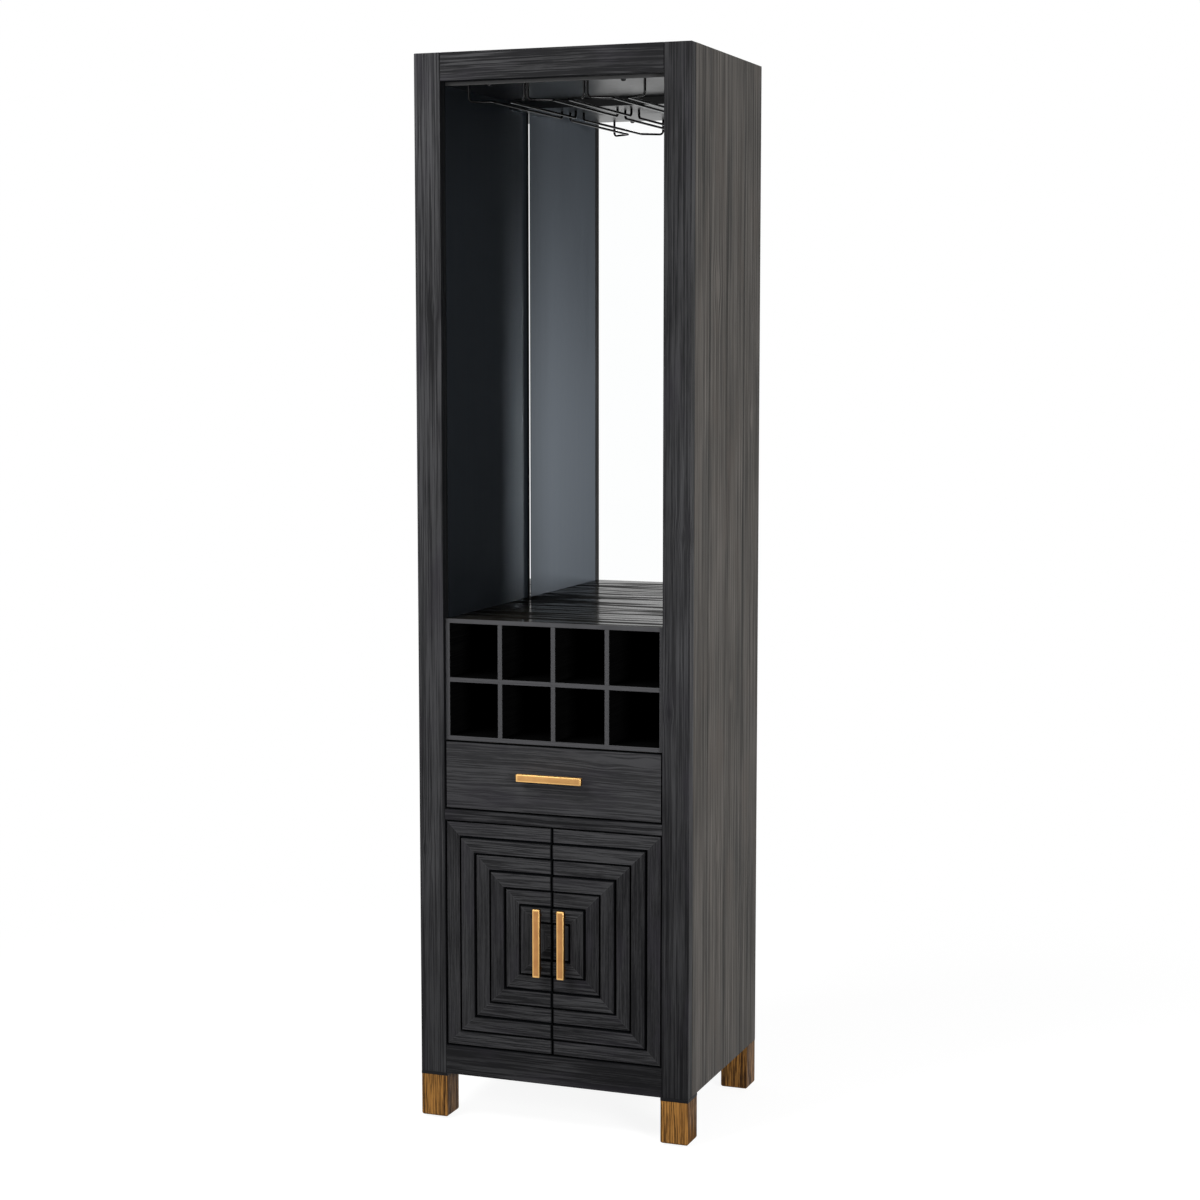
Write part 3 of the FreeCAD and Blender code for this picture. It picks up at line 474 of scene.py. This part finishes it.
class CABINET_OT_front_frame(bpy.types.Operator):
    """Finish the stiles with upright grain and the rails with level grain"""

    bl_idname = "drinks_cabinet.front_frame"
    bl_label = "Front frame"

    def execute(self, context):
        for right, side in enumerate(SIDES):
            centre = sum(corner.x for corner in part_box(f"{side}_stile")) / 2
            upper_knot = (1.62 - 0.43 * right, centre + 0.012, 0.012)
            lower_knot = (0.55 + 0.30 * right, centre - 0.014, 0.010)
            wood = brushed(
                f"{side}_stile_wood", upright, charcoal(), seed=3.1 + 7.0 * right, lines=340.0, run=3.5,
                # tone: painted light and shade by height and by side
                wave=0.002, knots=(upper_knot, lower_knot), tone=lambda f: self.aged(f, right),
                worn=lambda f: f.z.rise(0.1, 0.9).between(0.6, 1.1 - 0.4 * right),
                # patch: painted shadow on the stile's inner side face
                patch=shadow(lambda f: 1 - abs(f.x).above(JAMB + EDGE_DEPTH)))
            dress(wood, f"{side}_stile")
        for number, (rail, (lift, ends)) in enumerate(RAILS.items()):
            levels = [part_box(rail)[end].z for end in ends]
            wood = brushed(f"{rail}_wood", level, charcoal(), seed=21.7 + 2.3 * number, lift=lift,
                           # patch: painted shadow on the rail's open level edges, by the gaps
                           patch=shadow(lambda f: self.beside(f, levels)))
            dress(wood, rail)
        return {"FINISHED"}

    def aged(self, finish, right):
        """Tone of a stile, painted light and shade: palest at half height, and darker all over on the right,
        away from the light.
        """
        climb = finish.z.rise(0.1, 0.9) * 0.29
        fall = finish.z.rise(1.2, 2.0) * (0.08 + 0.14 * right)
        return climb - fall - (0.02 + 0.24 * right)

    def beside(self, finish, levels):
        """1 on the open level edges of a rail, where painted shadow goes."""
        near = abs(finish.z - levels[0])
        for height in levels[1:]:
            near = near.least(abs(finish.z - height))
        return 1 - near.above(EDGE_DEPTH)


def boards(start, end, count, grain):
    """Grain, tone and knots of boards side by side from front to back, each with its own figure."""
    pitch = (end - start) / count
    along_step = 3.7
    across_step = 0.53

    def axes(finish):
        """The grain, moved on from board to board."""
        number = ((finish.y - start) / pitch).floor()
        along, across, depth = grain(finish)
        return along + number * along_step, across + number * across_step, depth

    def tone(finish):
        """Some boards paler than others, and all darker towards the joints."""
        place = (finish.y - start) / pitch
        number = place.floor()
        part = place - number
        joint = 1 - (part * (1 - part)).rise(0.005, 0.075)
        return (finish.chance(number, seed=9.0) - 0.5) * 0.24 - joint * 0.34 + 0.04

    def knot(number, part, along, radius):
        """A knot on one board, at a part of the board's width."""
        return along + number * along_step, start + (number + part) * pitch + number * across_step, radius

    return axes, tone, knot


class CABINET_OT_walls(bpy.types.Operator):
    """Finish the outside walls, the top and the back, board by board"""

    bl_idname = "drinks_cabinet.walls"
    bl_label = "Walls, top and back"

    def execute(self, context):
        colours = shades("wall_hollow", "wall_ridge", "wall_blotch")
        axes, tone, knot = boards(FRONT, BACK, WALL_BOARDS, upright_side)
        for right, side in enumerate(SIDES):
            drop = 0.0 if right else LEFT_KNOT_DROP
            knots = [knot(board, part, height - drop, radius) for board, part, height, radius in WALL_KNOTS]
            wood = brushed(f"{side}_wall_wood", axes, colours, seed=40.0 + right, knots=knots,
                           knot_depth=-0.34, tone=tone, **WALL_GRAIN)
            dress(wood, f"{side}_side_boards")
        low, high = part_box("top_boards")
        axes, tone = boards(low.y, high.y, WALL_BOARDS, flat)[:2]
        dress(brushed("top_wood", axes, colours, seed=47.0, tone=tone, **WALL_GRAIN), "top_boards")
        dress(painted("back_paint", finishes().liner, roughness=0.55), "back_panel")
        return {"FINISHED"}


class CABINET_OT_bay(bpy.types.Operator):
    """Finish the inner walls, the ceiling and the bevelled mirror of the open bay"""

    bl_idname = "drinks_cabinet.bay"
    bl_label = "Mirrored bay"

    def execute(self, context):
        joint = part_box("mirror")[0].y
        liner = painted("liner_paint", finishes().liner, roughness=0.46, gloss=0.84, tint=(0.66, 0.81, 1.0),
                        dull=lambda f: f.y.rise(joint - 0.030, joint - 0.008))
        dress(liner, "left_liner", "right_liner")
        ceiling = painted("ceiling_paint", finishes().liner, roughness=0.33, gloss=0.4,
                          # patch: painted highlight on the ceiling's lit front edge
                          patch=highlit_front_edge("ceiling_panel", "ceiling_edge_highlight"))
        dress(ceiling, "ceiling_panel", "rack_cleat")
        dress(self.silver(), "mirror")
        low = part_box("ceiling_panel")[0]
        black = painted("stud_paint", finishes().liner, roughness=0.4, gloss=0.3)
        for side, sign in zip(SIDES, (-1, 1)):
            stud = self.stud(Vector((sign * fittings().stud_reach, low.y + fittings().stud_radius, low.z)))
            stud.name = f"{side}_ceiling_stud"
            stud.data.materials.append(black)
            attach(stud, "cabinet")
        return {"FINISHED"}

    def stud(self, place):
        """A domed screw head under the ceiling."""
        height = fittings().stud_height
        start_piece()
        bpy.ops.mesh.primitive_cylinder_add(
            vertices=ROUND_SIDES, radius=fittings().stud_radius, depth=height,
            location=place - Vector((0.0, 0.0, height / 2)))
        bpy.ops.object.transform_apply(location=True, rotation=True, scale=True)
        head = bpy.context.object
        bpy.ops.object.mode_set(mode="EDIT")
        dome = height * 0.85
        select_faces(head, lambda face: face.normal.z < -0.9)
        bpy.ops.mesh.bevel(offset=dome, segments=4, affect="EDGES")
        tidy_mesh()
        return head

    def silver(self):
        """Silvered glass, whose bevels bend the light towards the middle."""
        finish = Finish("silvered_glass")
        bloom = finish.noise(finish.x * 9.0, finish.y * 9.0, finish.z * 9.0, detail=3.0)
        bevel = fittings().mirror_bevel
        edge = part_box("mirror")[1].x
        slope = 0.875
        sloped_width = bevel * 0.7
        climb = (abs(finish.x) - (edge - bevel)).most(0.0).least(sloped_width)
        return finish.surface(
            Base_Color=finish.blend(*shades("mirror", "mirror_bloom"), bloom), Metallic=1.0, Roughness=0.0,
            Normal=finish.bump(climb * slope, distance=1.0))


class CABINET_OT_glass_rack(bpy.types.Operator):
    """Bend the wires of the hanging glass rack and paint them black"""

    bl_idname = "drinks_cabinet.glass_rack"
    bl_label = "Glass rack"

    def execute(self, context):
        low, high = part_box(f"glass_rack_{SLOTS[0]}")
        sizes = fittings()
        radius = sizes.wire_radius
        centre = (low.x + high.x) / 2
        hook = Vector((high.x - radius, low.y + radius, high.z))
        rail_z = low.z + radius
        rail_x = centre + sizes.slot_half
        rear_y = high.y - radius
        rear_top = high.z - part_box("ceiling_panel")[0].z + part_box("rack_cleat")[0].z
        wire = bent_wire([hook, Vector((hook.x, hook.y, rail_z)),
                          Vector((rail_x, hook.y + sizes.flare, rail_z)), Vector((rail_x, rear_y, rail_z)),
                          Vector((rail_x, rear_y, rear_top))], radius, sizes.wire_bend)
        pair_up(wire, centre)
        wire.data.materials.append(self.black())
        for slot in SLOTS:
            node = f"glass_rack_{slot}"
            piece = wire if slot == SLOTS[0] else copied(wire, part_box(node)[0] - low)
            piece.name = f"glass_wires_{slot}"
            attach(piece, "cabinet")
            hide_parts(node)
        return {"FINISHED"}

    def black(self):
        """Satin black paint with fine specks."""
        finish = Finish("wire_paint")
        speck = finish.noise(finish.x * 300.0, finish.y * 300.0, finish.z * 300.0, detail=3.0)
        return finish.surface(
            Base_Color=finish.blend(*shades("wire", "wire_speck"), speck), Specular_IOR_Level=0.30,
            Roughness=speck.between(0.10, 0.20), Normal=finish.bump(speck, distance=0.00003))


def start_piece():
    """Leaves nothing selected, ready for a new primitive."""
    bpy.ops.object.select_all(action="DESELECT")


def bent_wire(points, radius, bend, sides=16, steps=8):
    """A round wire through the points, drawn on by extruding runs and spinning bends."""
    start_piece()
    bpy.ops.mesh.primitive_circle_add(vertices=sides, radius=radius, location=points[0])
    bpy.ops.object.transform_apply(location=True, rotation=True, scale=True)
    bpy.ops.object.mode_set(mode="EDIT")
    bpy.ops.mesh.select_all(action="SELECT")
    at = points[0]
    for corner, after in zip(points[1:], points[2:]):
        arrive = (corner - at).normalized()
        leave = (after - corner).normalized()
        turn = arrive.angle(leave)
        first = corner - arrive * bend * math.tan(turn / 2)
        bpy.ops.mesh.extrude_edges_move(TRANSFORM_OT_translate={"value": first - at})
        axis = arrive.cross(leave).normalized()
        centre = first + axis.cross(arrive) * bend
        bpy.ops.mesh.spin(steps=steps, angle=-turn, center=centre, axis=axis)
        at = corner + leave * bend * math.tan(turn / 2)
    bpy.ops.mesh.extrude_edges_move(TRANSFORM_OT_translate={"value": points[-1] - at})
    bpy.ops.mesh.select_all(action="SELECT")
    bpy.ops.mesh.fill_holes(sides=0)
    tidy_mesh()
    return bpy.context.object


def tidy_mesh():
    """Merges doubles, turns faces outwards and leaves edit mode with smooth shading."""
    bpy.ops.mesh.select_all(action="SELECT")
    bpy.ops.mesh.remove_doubles(threshold=MERGE_DISTANCE)
    bpy.ops.mesh.normals_make_consistent(inside=False)
    bpy.ops.object.mode_set(mode="OBJECT")
    bpy.ops.object.shade_smooth_by_angle(angle=SMOOTH_ANGLE)


def pair_up(piece, centre):
    """Adds a piece's mirror image about the plane X = centre."""
    bpy.ops.object.mode_set(mode="EDIT")
    bpy.ops.mesh.select_all(action="SELECT")
    bpy.ops.mesh.duplicate()
    bpy.ops.transform.resize(value=(-1.0, 1.0, 1.0), center_override=(centre, 0.0, 0.0))
    tidy_mesh()


def copied(piece, shift):
    """A copy of a piece with its own mesh, moved."""
    start_piece()
    piece.select_set(True)
    bpy.context.view_layer.objects.active = piece
    bpy.ops.object.duplicate(linked=False)
    bpy.ops.transform.translate(value=shift)
    bpy.ops.object.transform_apply(location=True, rotation=True, scale=True)
    return bpy.context.object


class CABINET_OT_bottle_rack(bpy.types.Operator):
    """Finish the deck boards and the bottle rack under them"""

    bl_idname = "drinks_cabinet.bottle_rack"
    bl_label = "Deck and bottle rack"

    def execute(self, context):
        # Painted highlight on the front edges of the deck and the rack
        edge = highlit_front_edge("deck_boards", "rack_edge_highlight")
        dress(self.lacquer(*edge), "deck_boards")
        # The cell colour is partly painted shade, darker than the paint itself
        colours = shades("cell", "deck_hollow", "cell")
        for name, grain, seed, pieces in (
                ("rack_board", flat, 57.0, ("floor", "shelf")),
                ("rack_divider", inward, 63.0, ("left_side", "right_side", "dividers"))):
            wood = brushed(name, grain, colours, seed, patch=edge, gloss=0.05)
            dress(wood, *(f"bottle_rack_{piece}" for piece in pieces))
        return {"FINISHED"}

    def lacquer(self, edge, rim_highlight):
        """Black lacquer that shines in streaks along the boards, with a painted highlight on its front edge.
        """
        finish = Finish("deck_lacquer")
        drift = finish.noise(finish.x * 3.0, finish.y * 9.0, z=51.0)
        lean = finish.y + drift.between(-0.006, 0.006)
        streak = finish.noise(finish.x * 2.5, lean * 31.0, z=7.0, detail=3.0, roughness=0.6).rise(0.45, 0.55)
        fine = finish.noise(finish.x * 8.0, lean * 260.0, z=3.0, detail=3.0, roughness=0.6).rise(0.3, 0.7)
        # rim: where the painted highlight of the front edge goes
        rim = edge(finish)
        colour = finish.blend(*shades("deck_hollow", "deck_ridge"), fine * 0.6 + streak * 0.4)
        return finish.surface(
            Base_Color=finish.blend(colour, rim_highlight, rim * fine.between(0.75, 1.0)), Roughness=0.5,
            Specular_IOR_Level=0.002, Coat_Weight=(streak * 0.9 + fine * 0.1) * (1 - rim) * 0.58,
            Coat_Roughness=0.15, Coat_Tint=(1.0, 0.97, 0.91),
            Normal=finish.bump(fine * 0.5 + streak * 0.5, distance=0.0006))


class CABINET_OT_drawer(bpy.types.Operator):
    """Finish the drawer's front, its plain box and the hidden frame"""

    bl_idname = "drinks_cabinet.drawer"
    bl_label = "Drawer"

    def execute(self, context):
        low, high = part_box("drawer_front")
        knots = ((0.105, high.z - 0.022, 0.012), (0.196, high.z - 0.016, 0.010),
                 (-0.14, low.z + 0.03, 0.009))
        wood = brushed("drawer_wood", level, charcoal(), seed=71.0, lines=320.0, run=5.5, wave=0.012,
                       # lift: painted light, the drawer front lighter than the like-finished front frame;
                       # patch: painted shadow on its edges behind the face
                       crisp=0.06, knots=knots, lift=0.44,
                       patch=shadow(lambda f: f.y.above(low.y + EDGE_DEPTH * 0.3)))
        dress(wood, "drawer_front")
        pine = shades("pine_grain", "pine", "pine_blotch")
        for name, grain, nodes in (
                ("box_side_pine", inward, ("drawer_left_side", "drawer_right_side")),
                ("tray_pine", flat, ("drawer_bottom", "drawer_back")),
                ("batten_pine", upright, ("wall_framing",))):
            dress(brushed(name, grain, pine, seed=79.0, relief=0.0001), *nodes)
        return {"FINISHED"}


class CABINET_OT_doors(bpy.types.Operator):
    """Finish the doors: the grain runs along each strip, and each strip differs a little"""

    bl_idname = "drinks_cabinet.doors"
    bl_label = "Doors and cupboard"

    def execute(self, context):
        low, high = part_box("right_door_panel")
        middle = (low.z + high.z) / 2
        half = (high.z - low.z) / 2
        spare = half - high.x
        pitch = fittings().strip_pitch

        def sideways(f):
            """Distance from the middle to the side, made equal to the one upwards along the mitres."""
            return abs(f.x) + spare

        def upwards(f):
            """Distance from the middle up or down."""
            return abs(f.z - middle)

        def standing(f):
            """1 on the standing strips."""
            return sideways(f).above(upwards(f))

        def strip(f):
            """A number of its own for each strip."""
            ring = ((half - sideways(f).most(upwards(f))) / pitch).floor()
            upper = f.z.above(middle) * (1 - standing(f))
            return ring + standing(f) * 0.37 + f.x.above(0.0) * 0.19 + upper * 0.11

        def axes(f):
            """Grain along each strip, moved on from strip to strip."""
            up = standing(f)
            number = strip(f)
            return f.x + (f.z - f.x) * up + number * 1.3, f.z + (f.x - f.z) * up + number * 0.77, f.y

        def tone(f):
            """Some strips paler than others and pale mitres; and painted light and shade: the level strips
            lighter, as if lit from above, and strips darker at the right and below.
            """
            mitre = 1 - abs(sideways(f) - upwards(f)).rise(0.0003, 0.0012)
            right = f.x.above(0.0) * standing(f) * 0.12
            under = (1 - f.z.above(middle)) * (1 - standing(f)) * 0.22
            lift = standing(f).between(0.32, 0.08) - right - under
            return (f.chance(strip(f), seed=6.0) - 0.5) * 0.3 + mitre * 0.30 + lift

        def meeting(f):
            """1 along the edges where the doors meet, which take painted shadow."""
            return 1 - abs(f.x).rise(low.x + 0.0012, low.x + 0.0022)

        for layer in ("low_strips", "raised_strips"):
            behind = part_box(f"left_door_{layer}")[0].y + EDGE_DEPTH * 0.15
            wood = brushed(
                f"door_{layer}_wood", axes, charcoal(), seed=83.0, lines=400.0, run=9.0, wave=0.004,
                bands=0.08, cracks=0.03, tone=tone, worn=lambda f: standing(f).between(1.1, 0.5),
                # patch: painted shadow on the strips' sides in the grooves and along the meeting edges
                patch=shadow(lambda f: f.y.above(behind).most(meeting(f))))
            dress(wood, *(f"{side}_door_{layer}" for side in SIDES))
        groove = painted("door_groove_paint", finishes().liner, roughness=0.6, gloss=0.05)
        dress(groove, *(f"{side}_door_panel" for side in SIDES))
        inside = painted("cupboard_paint", finishes().liner, roughness=0.5)
        dress(inside, "dust_board", "cupboard_floor", "cupboard_shelf")
        return {"FINISHED"}


class CABINET_OT_handles(bpy.types.Operator):
    """Model the three bar handles and give them aged brass"""

    bl_idname = "drinks_cabinet.handles"
    bl_label = "Handles"

    def execute(self, context):
        for owner in OWNERS:
            node = f"{owner}_handle"
            low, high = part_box(node)
            lying = high.x - low.x > high.z - low.z
            piece = self.pull(low, high, lying)
            piece.name = f"{owner}_pull"
            piece.data.materials.append(self.brass(f"{owner}_brass", low, high, lying))
            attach(piece, owner)
            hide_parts(node)
        return {"FINISHED"}

    def pull(self, low, high, lying):
        """A chamfered square bar on two round posts."""
        sizes = fittings()
        bar_back = low.y + sizes.bar_thickness
        centre = (low + high) / 2
        start_piece()
        bpy.ops.mesh.primitive_cube_add(
            size=1.0, location=(centre.x, (low.y + bar_back) / 2, centre.z),
            scale=(high.x - low.x, bar_back - low.y, high.z - low.z))
        bar = bpy.context.object
        bpy.ops.object.transform_apply(location=True, rotation=True, scale=True)
        bpy.ops.object.mode_set(mode="EDIT")
        bpy.ops.mesh.select_all(action="SELECT")
        bpy.ops.mesh.bevel(offset=sizes.bar_chamfer, segments=3, affect="EDGES")
        tidy_mesh()
        half = (high.x - low.x if lying else high.z - low.z) / 2 - sizes.post_inset
        for step in (-half, half):
            place = (centre.x + step, centre.z) if lying else (centre.x, centre.z + step)
            post = self.post(place, bar_back, high.y, sizes.post_radius)
            union(bar, post)
        return bar

    def post(self, place, near, far, radius):
        """A round post from inside the bar to the face it stands on, eased at its foot."""
        inside = near - radius / 2
        start_piece()
        bpy.ops.mesh.primitive_cylinder_add(
            vertices=ROUND_SIDES, radius=radius, depth=far - inside,
            location=(place[0], (inside + far) / 2, place[1]), rotation=(math.radians(90.0), 0.0, 0.0))
        bpy.ops.object.transform_apply(location=True, rotation=True, scale=True)
        post = bpy.context.object
        bpy.ops.object.mode_set(mode="EDIT")
        select_faces(post, lambda face: face.calc_center_median().y > far - EDGE_DEPTH / 10)
        bpy.ops.mesh.bevel(offset=radius * 0.08, segments=2, affect="EDGES")
        tidy_mesh()
        return post

    def brass(self, name, low, high, lying):
        """Brass that has browned except on its bright edges, which are rubbed and carry a painted highlight;
        painted shade darkens the sides of the bar.
        """
        finish = Finish(name)
        centre = (low + high) / 2
        half = (high - low) / 2
        chamfer = fittings().bar_chamfer
        sideways = abs(finish.x - centre.x) / half.x
        upwards = abs(finish.z - centre.z) / half.z
        long, short = (finish.x, finish.z) if lying else (finish.z, finish.x)
        along, across = (sideways, upwards) if lying else (upwards, sideways)
        streak = finish.noise(long * 40.0, short * 900.0, finish.y * 900.0, detail=3.0, roughness=0.6)
        cloud = finish.noise(finish.x * 55.0, finish.y * 55.0, finish.z * 55.0, detail=3.0)
        # Bright edges: rubbed brass and a painted highlight
        rubbed_and_highlit = across.rise(0.58, 0.78).most(along.rise(0.93, 0.97))
        # Painted shade on the sides of the bar; the lying bar keeps its top face unshaded
        shaded_flank = finish.y.rise(low.y + chamfer * 0.7, low.y + chamfer * 1.2)
        if lying:
            shaded_flank = shaded_flank * (1 - finish.z.above(high.z - chamfer))
        # Painted light: the lying drawer bar is made brighter than the standing door bars
        lift = 0.42 if lying else 0.14
        bright = rubbed_and_highlit * 0.9 + (streak - 0.5) * 0.5 + (cloud - 0.5) * 0.5 + lift
        patina, brass = shades("patina", "brass")
        face = finish.blend(patina, brass, bright.most(0.0).least(1.0))
        # Painted shade on the bar's sides, darker than the patina
        dark = tuple(value * 0.4 for value in patina)
        return finish.surface(
            Base_Color=finish.blend(face, dark, shaded_flank), Metallic=1.0, Roughness=streak.between(0.38, 0.58),
            Normal=finish.bump(streak, distance=0.00005))


def select_faces(piece, wanted):
    """Selects the faces of a piece in edit mode that are wanted."""
    bpy.ops.mesh.select_mode(type="FACE")
    mesh = bmesh.from_edit_mesh(piece.data)
    for face in mesh.faces:
        face.select_set(wanted(face))
    mesh.select_flush_mode()
    bmesh.update_edit_mesh(piece.data)


def union(piece, other):
    """Joins another piece onto this one as one closed skin."""
    start_piece()
    piece.select_set(True)
    bpy.context.view_layer.objects.active = piece
    bpy.ops.object.modifier_add(type="BOOLEAN")
    modifier = piece.modifiers[-1]
    modifier.operation = "UNION"
    modifier.solver = "EXACT"
    modifier.object = other
    bpy.ops.object.modifier_apply(modifier=modifier.name)
    bpy.data.objects.remove(other)


class CABINET_OT_legs(bpy.types.Operator):
    """Finish the brown legs and the dark spacers over them"""

    bl_idname = "drinks_cabinet.legs"
    bl_label = "Legs"

    def execute(self, context):
        colours = shades("leg_grain", "leg_pale", "leg_blotch")
        # Lift of each leg: painted shade makes the rear legs, under the cabinet, darker than the front ones
        lifts_with_shade = {f"{end}_{side}_leg": lift
                 for end, lift in (("front", 0.18), ("rear", 0.04)) for side in SIDES}
        for number, (node, lift) in enumerate(lifts_with_shade.items()):
            # tone: painted shade on the sides and inner face of the leg
            wood = brushed(f"{node}_wood", upright, colours, seed=91.0 + 3.7 * number, lines=420.0, run=12.0,
                           crisp=0.04, cracks=0.15, lift=lift, tone=self.turned(*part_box(node)), gloss=0.15)
            dress(wood, node)
        dress(painted("spacer_paint", finishes().hollow, roughness=0.5, gloss=0.1), "leg_spacers")
        return {"FINISHED"}

    def turned(self, low, high):
        """Painted shade on a leg: darker on the sides than on its front and back, darkest on the inner side.
        """
        centre = (low.x + high.x) / 2
        half = (high.x - low.x) / 2
        inside = min(abs(low.x), abs(high.x))

        def tone(finish):
            """Painted shade, lower on the sides."""
            side = abs(finish.x - centre).above(half - EDGE_DEPTH)
            inner = 1 - abs(finish.x).above(inside + EDGE_DEPTH)
            return side * -0.24 - inner * 0.34

        return tone


class CABINET_OT_hardware(bpy.types.Operator):
    """Finish the steel and plastic fittings"""

    bl_idname = "drinks_cabinet.hardware"
    bl_label = "Fittings"

    def execute(self, context):
        dress(self.steel(), "runner_rails", "runner_slides", "leg_bolts", "shelf_pins",
              *(f"{owner}_handle_screws" for owner in OWNERS), *(f"{side}_door_strike" for side in SIDES))
        dress(self.plastic(), "leg_glides", "pivot_bushes", "door_catch")
        black = painted("pivot_black", finishes().liner, roughness=0.5, gloss=0.2)
        dress(black, *(f"{side}_door_pivots" for side in SIDES))
        return {"FINISHED"}

    def steel(self):
        """Zinc-plated steel with a drawn grain."""
        finish = Finish("zinc_steel")
        grain = finish.noise(finish.x * 120.0, finish.y * 25.0, finish.z * 120.0, detail=3.0)
        return finish.surface(
            Base_Color=finish.blend(*shades("steel", "steel_grain"), grain), Metallic=1.0,
            Roughness=grain.between(0.28, 0.48), Normal=finish.bump(grain, distance=0.00005))

    def plastic(self):
        """Dark plastic with a fine grain."""
        finish = Finish("dark_plastic")
        grain = finish.noise(finish.x * 500.0, finish.y * 500.0, finish.z * 500.0)
        return finish.surface(
            Base_Color=finish.blend(*shades("plastic", "plastic_grain"), grain),
            Roughness=grain.between(0.45, 0.62), Normal=finish.bump(grain, distance=0.00005))


class CABINET_OT_stage(bpy.types.Operator):
    """Set the floor, the light and the camera"""

    bl_idname = "drinks_cabinet.stage"
    bl_label = "Stage"

    def execute(self, context):
        stage = context.scene.cabinet_stage
        start_piece()
        bpy.ops.mesh.primitive_plane_add(size=stage.floor)
        floor = context.object
        floor.name = "studio_floor"
        floor.data.materials.append(self.floor_white())
        self.surround(context.scene, stage.ambient)
        self.softbox("key_light", stage.key_place, stage.aim, stage.key_spread, stage.key)
        self.softbox("fill_light", stage.fill_place, stage.aim, stage.fill_spread, stage.fill)
        bpy.ops.object.camera_add(location=stage.camera_place, rotation=stage.camera_turn)
        context.object.name = "photo_camera"
        context.object.data.lens = stage.lens
        context.object.data.sensor_width = stage.sensor
        context.scene.camera = context.object
        context.scene.view_settings.view_transform = "Standard"
        return {"FINISHED"}

    def floor_white(self):
        """White floor that glows where it is seen, and near the cabinet takes its shadow."""
        material = bpy.data.materials.new("studio_white")
        material.use_nodes = True
        paper = Shading(material.node_tree)
        place = paper.signal("ShaderNodeTexCoord", output="Object")
        seen = paper.seen()
        matt = paper.signal("ShaderNodeBsdfDiffuse", None, {"Color": (0.24, 0.24, 0.24)})
        glow = paper.signal("ShaderNodeEmission", None, {"Color": seen * paper.lit(place) * 0.90})
        near = paper.signal("ShaderNodeAddShader", None, {0: matt, 1: glow})
        far = paper.signal("ShaderNodeEmission", None, {"Color": seen.between(0.4, 1.0) * paper.lit(place)})
        distance = paper.signal("ShaderNodeVectorMath", {"operation": "LENGTH"}, {0: place}, "Value")
        both = paper.signal("ShaderNodeMixShader", None, {0: distance.rise(0.9, 2.2), 1: near, 2: far})
        paper.node("ShaderNodeOutputMaterial", None, {"Surface": both})
        return material

    def surround(self, scene, ambient):
        """White where it is seen, softer where it only lights, and dim in reflections of the right front."""
        scene.world = bpy.data.worlds.new("studio")
        scene.world.use_nodes = True
        sky = Shading(scene.world.node_tree)
        way = sky.signal("ShaderNodeTexCoord", output="Generated")
        white = sky.signal("ShaderNodeBackground", None, {
            "Color": sky.seen().between(ambient, 1.0) * sky.lit(way)})
        sky.node("ShaderNodeOutputWorld", None, {"Surface": white})

    def softbox(self, name, place, aim, spread, power):
        """A large light of a width and height, turned to a point."""
        turn = (aim - place).to_track_quat("-Z", "Y").to_euler()
        bpy.ops.object.light_add(type="AREA", location=place, rotation=turn)
        lamp = bpy.context.object
        lamp.name = name
        lamp.data.shape = "RECTANGLE"
        lamp.data.size, lamp.data.size_y = spread
        lamp.data.energy = power


class CABINET_PT_panel(bpy.types.Panel):
    """Lists the steps that dress the cabinet"""

    bl_idname = "CABINET_PT_panel"
    bl_label = "Drinks cabinet"
    bl_space_type = "VIEW_3D"
    bl_region_type = "UI"
    bl_category = "Cabinet"

    def draw(self, context):
        for operator in OPERATORS:
            self.layout.operator(operator.bl_idname)


OPERATORS = (
    CABINET_OT_front_frame, CABINET_OT_walls, CABINET_OT_bay, CABINET_OT_glass_rack, CABINET_OT_bottle_rack,
    CABINET_OT_drawer, CABINET_OT_doors, CABINET_OT_handles, CABINET_OT_legs, CABINET_OT_hardware,
    CABINET_OT_stage)
GROUPS = {
    "cabinet_finishes": CabinetFinishes, "cabinet_fittings": CabinetFittings, "cabinet_stage": CabinetStage}
CLASSES = (*GROUPS.values(), *OPERATORS, CABINET_PT_panel)


def register():
    """Adds the classes and the scene's settings."""
    for item in CLASSES:
        bpy.utils.register_class(item)
    for name, group in GROUPS.items():
        setattr(bpy.types.Scene, name, bpy.props.PointerProperty(type=group))


def unregister():
    """Removes the settings and the classes."""
    for name in GROUPS:
        delattr(bpy.types.Scene, name)
    for item in reversed(CLASSES):
        bpy.utils.unregister_class(item)


def main():
    """Dresses the cabinet."""
    register()
    for operator in OPERATORS:
        category, name = operator.bl_idname.split(".")
        getattr(getattr(bpy.ops, category), name)()


if __name__ == "__main__":
    main()
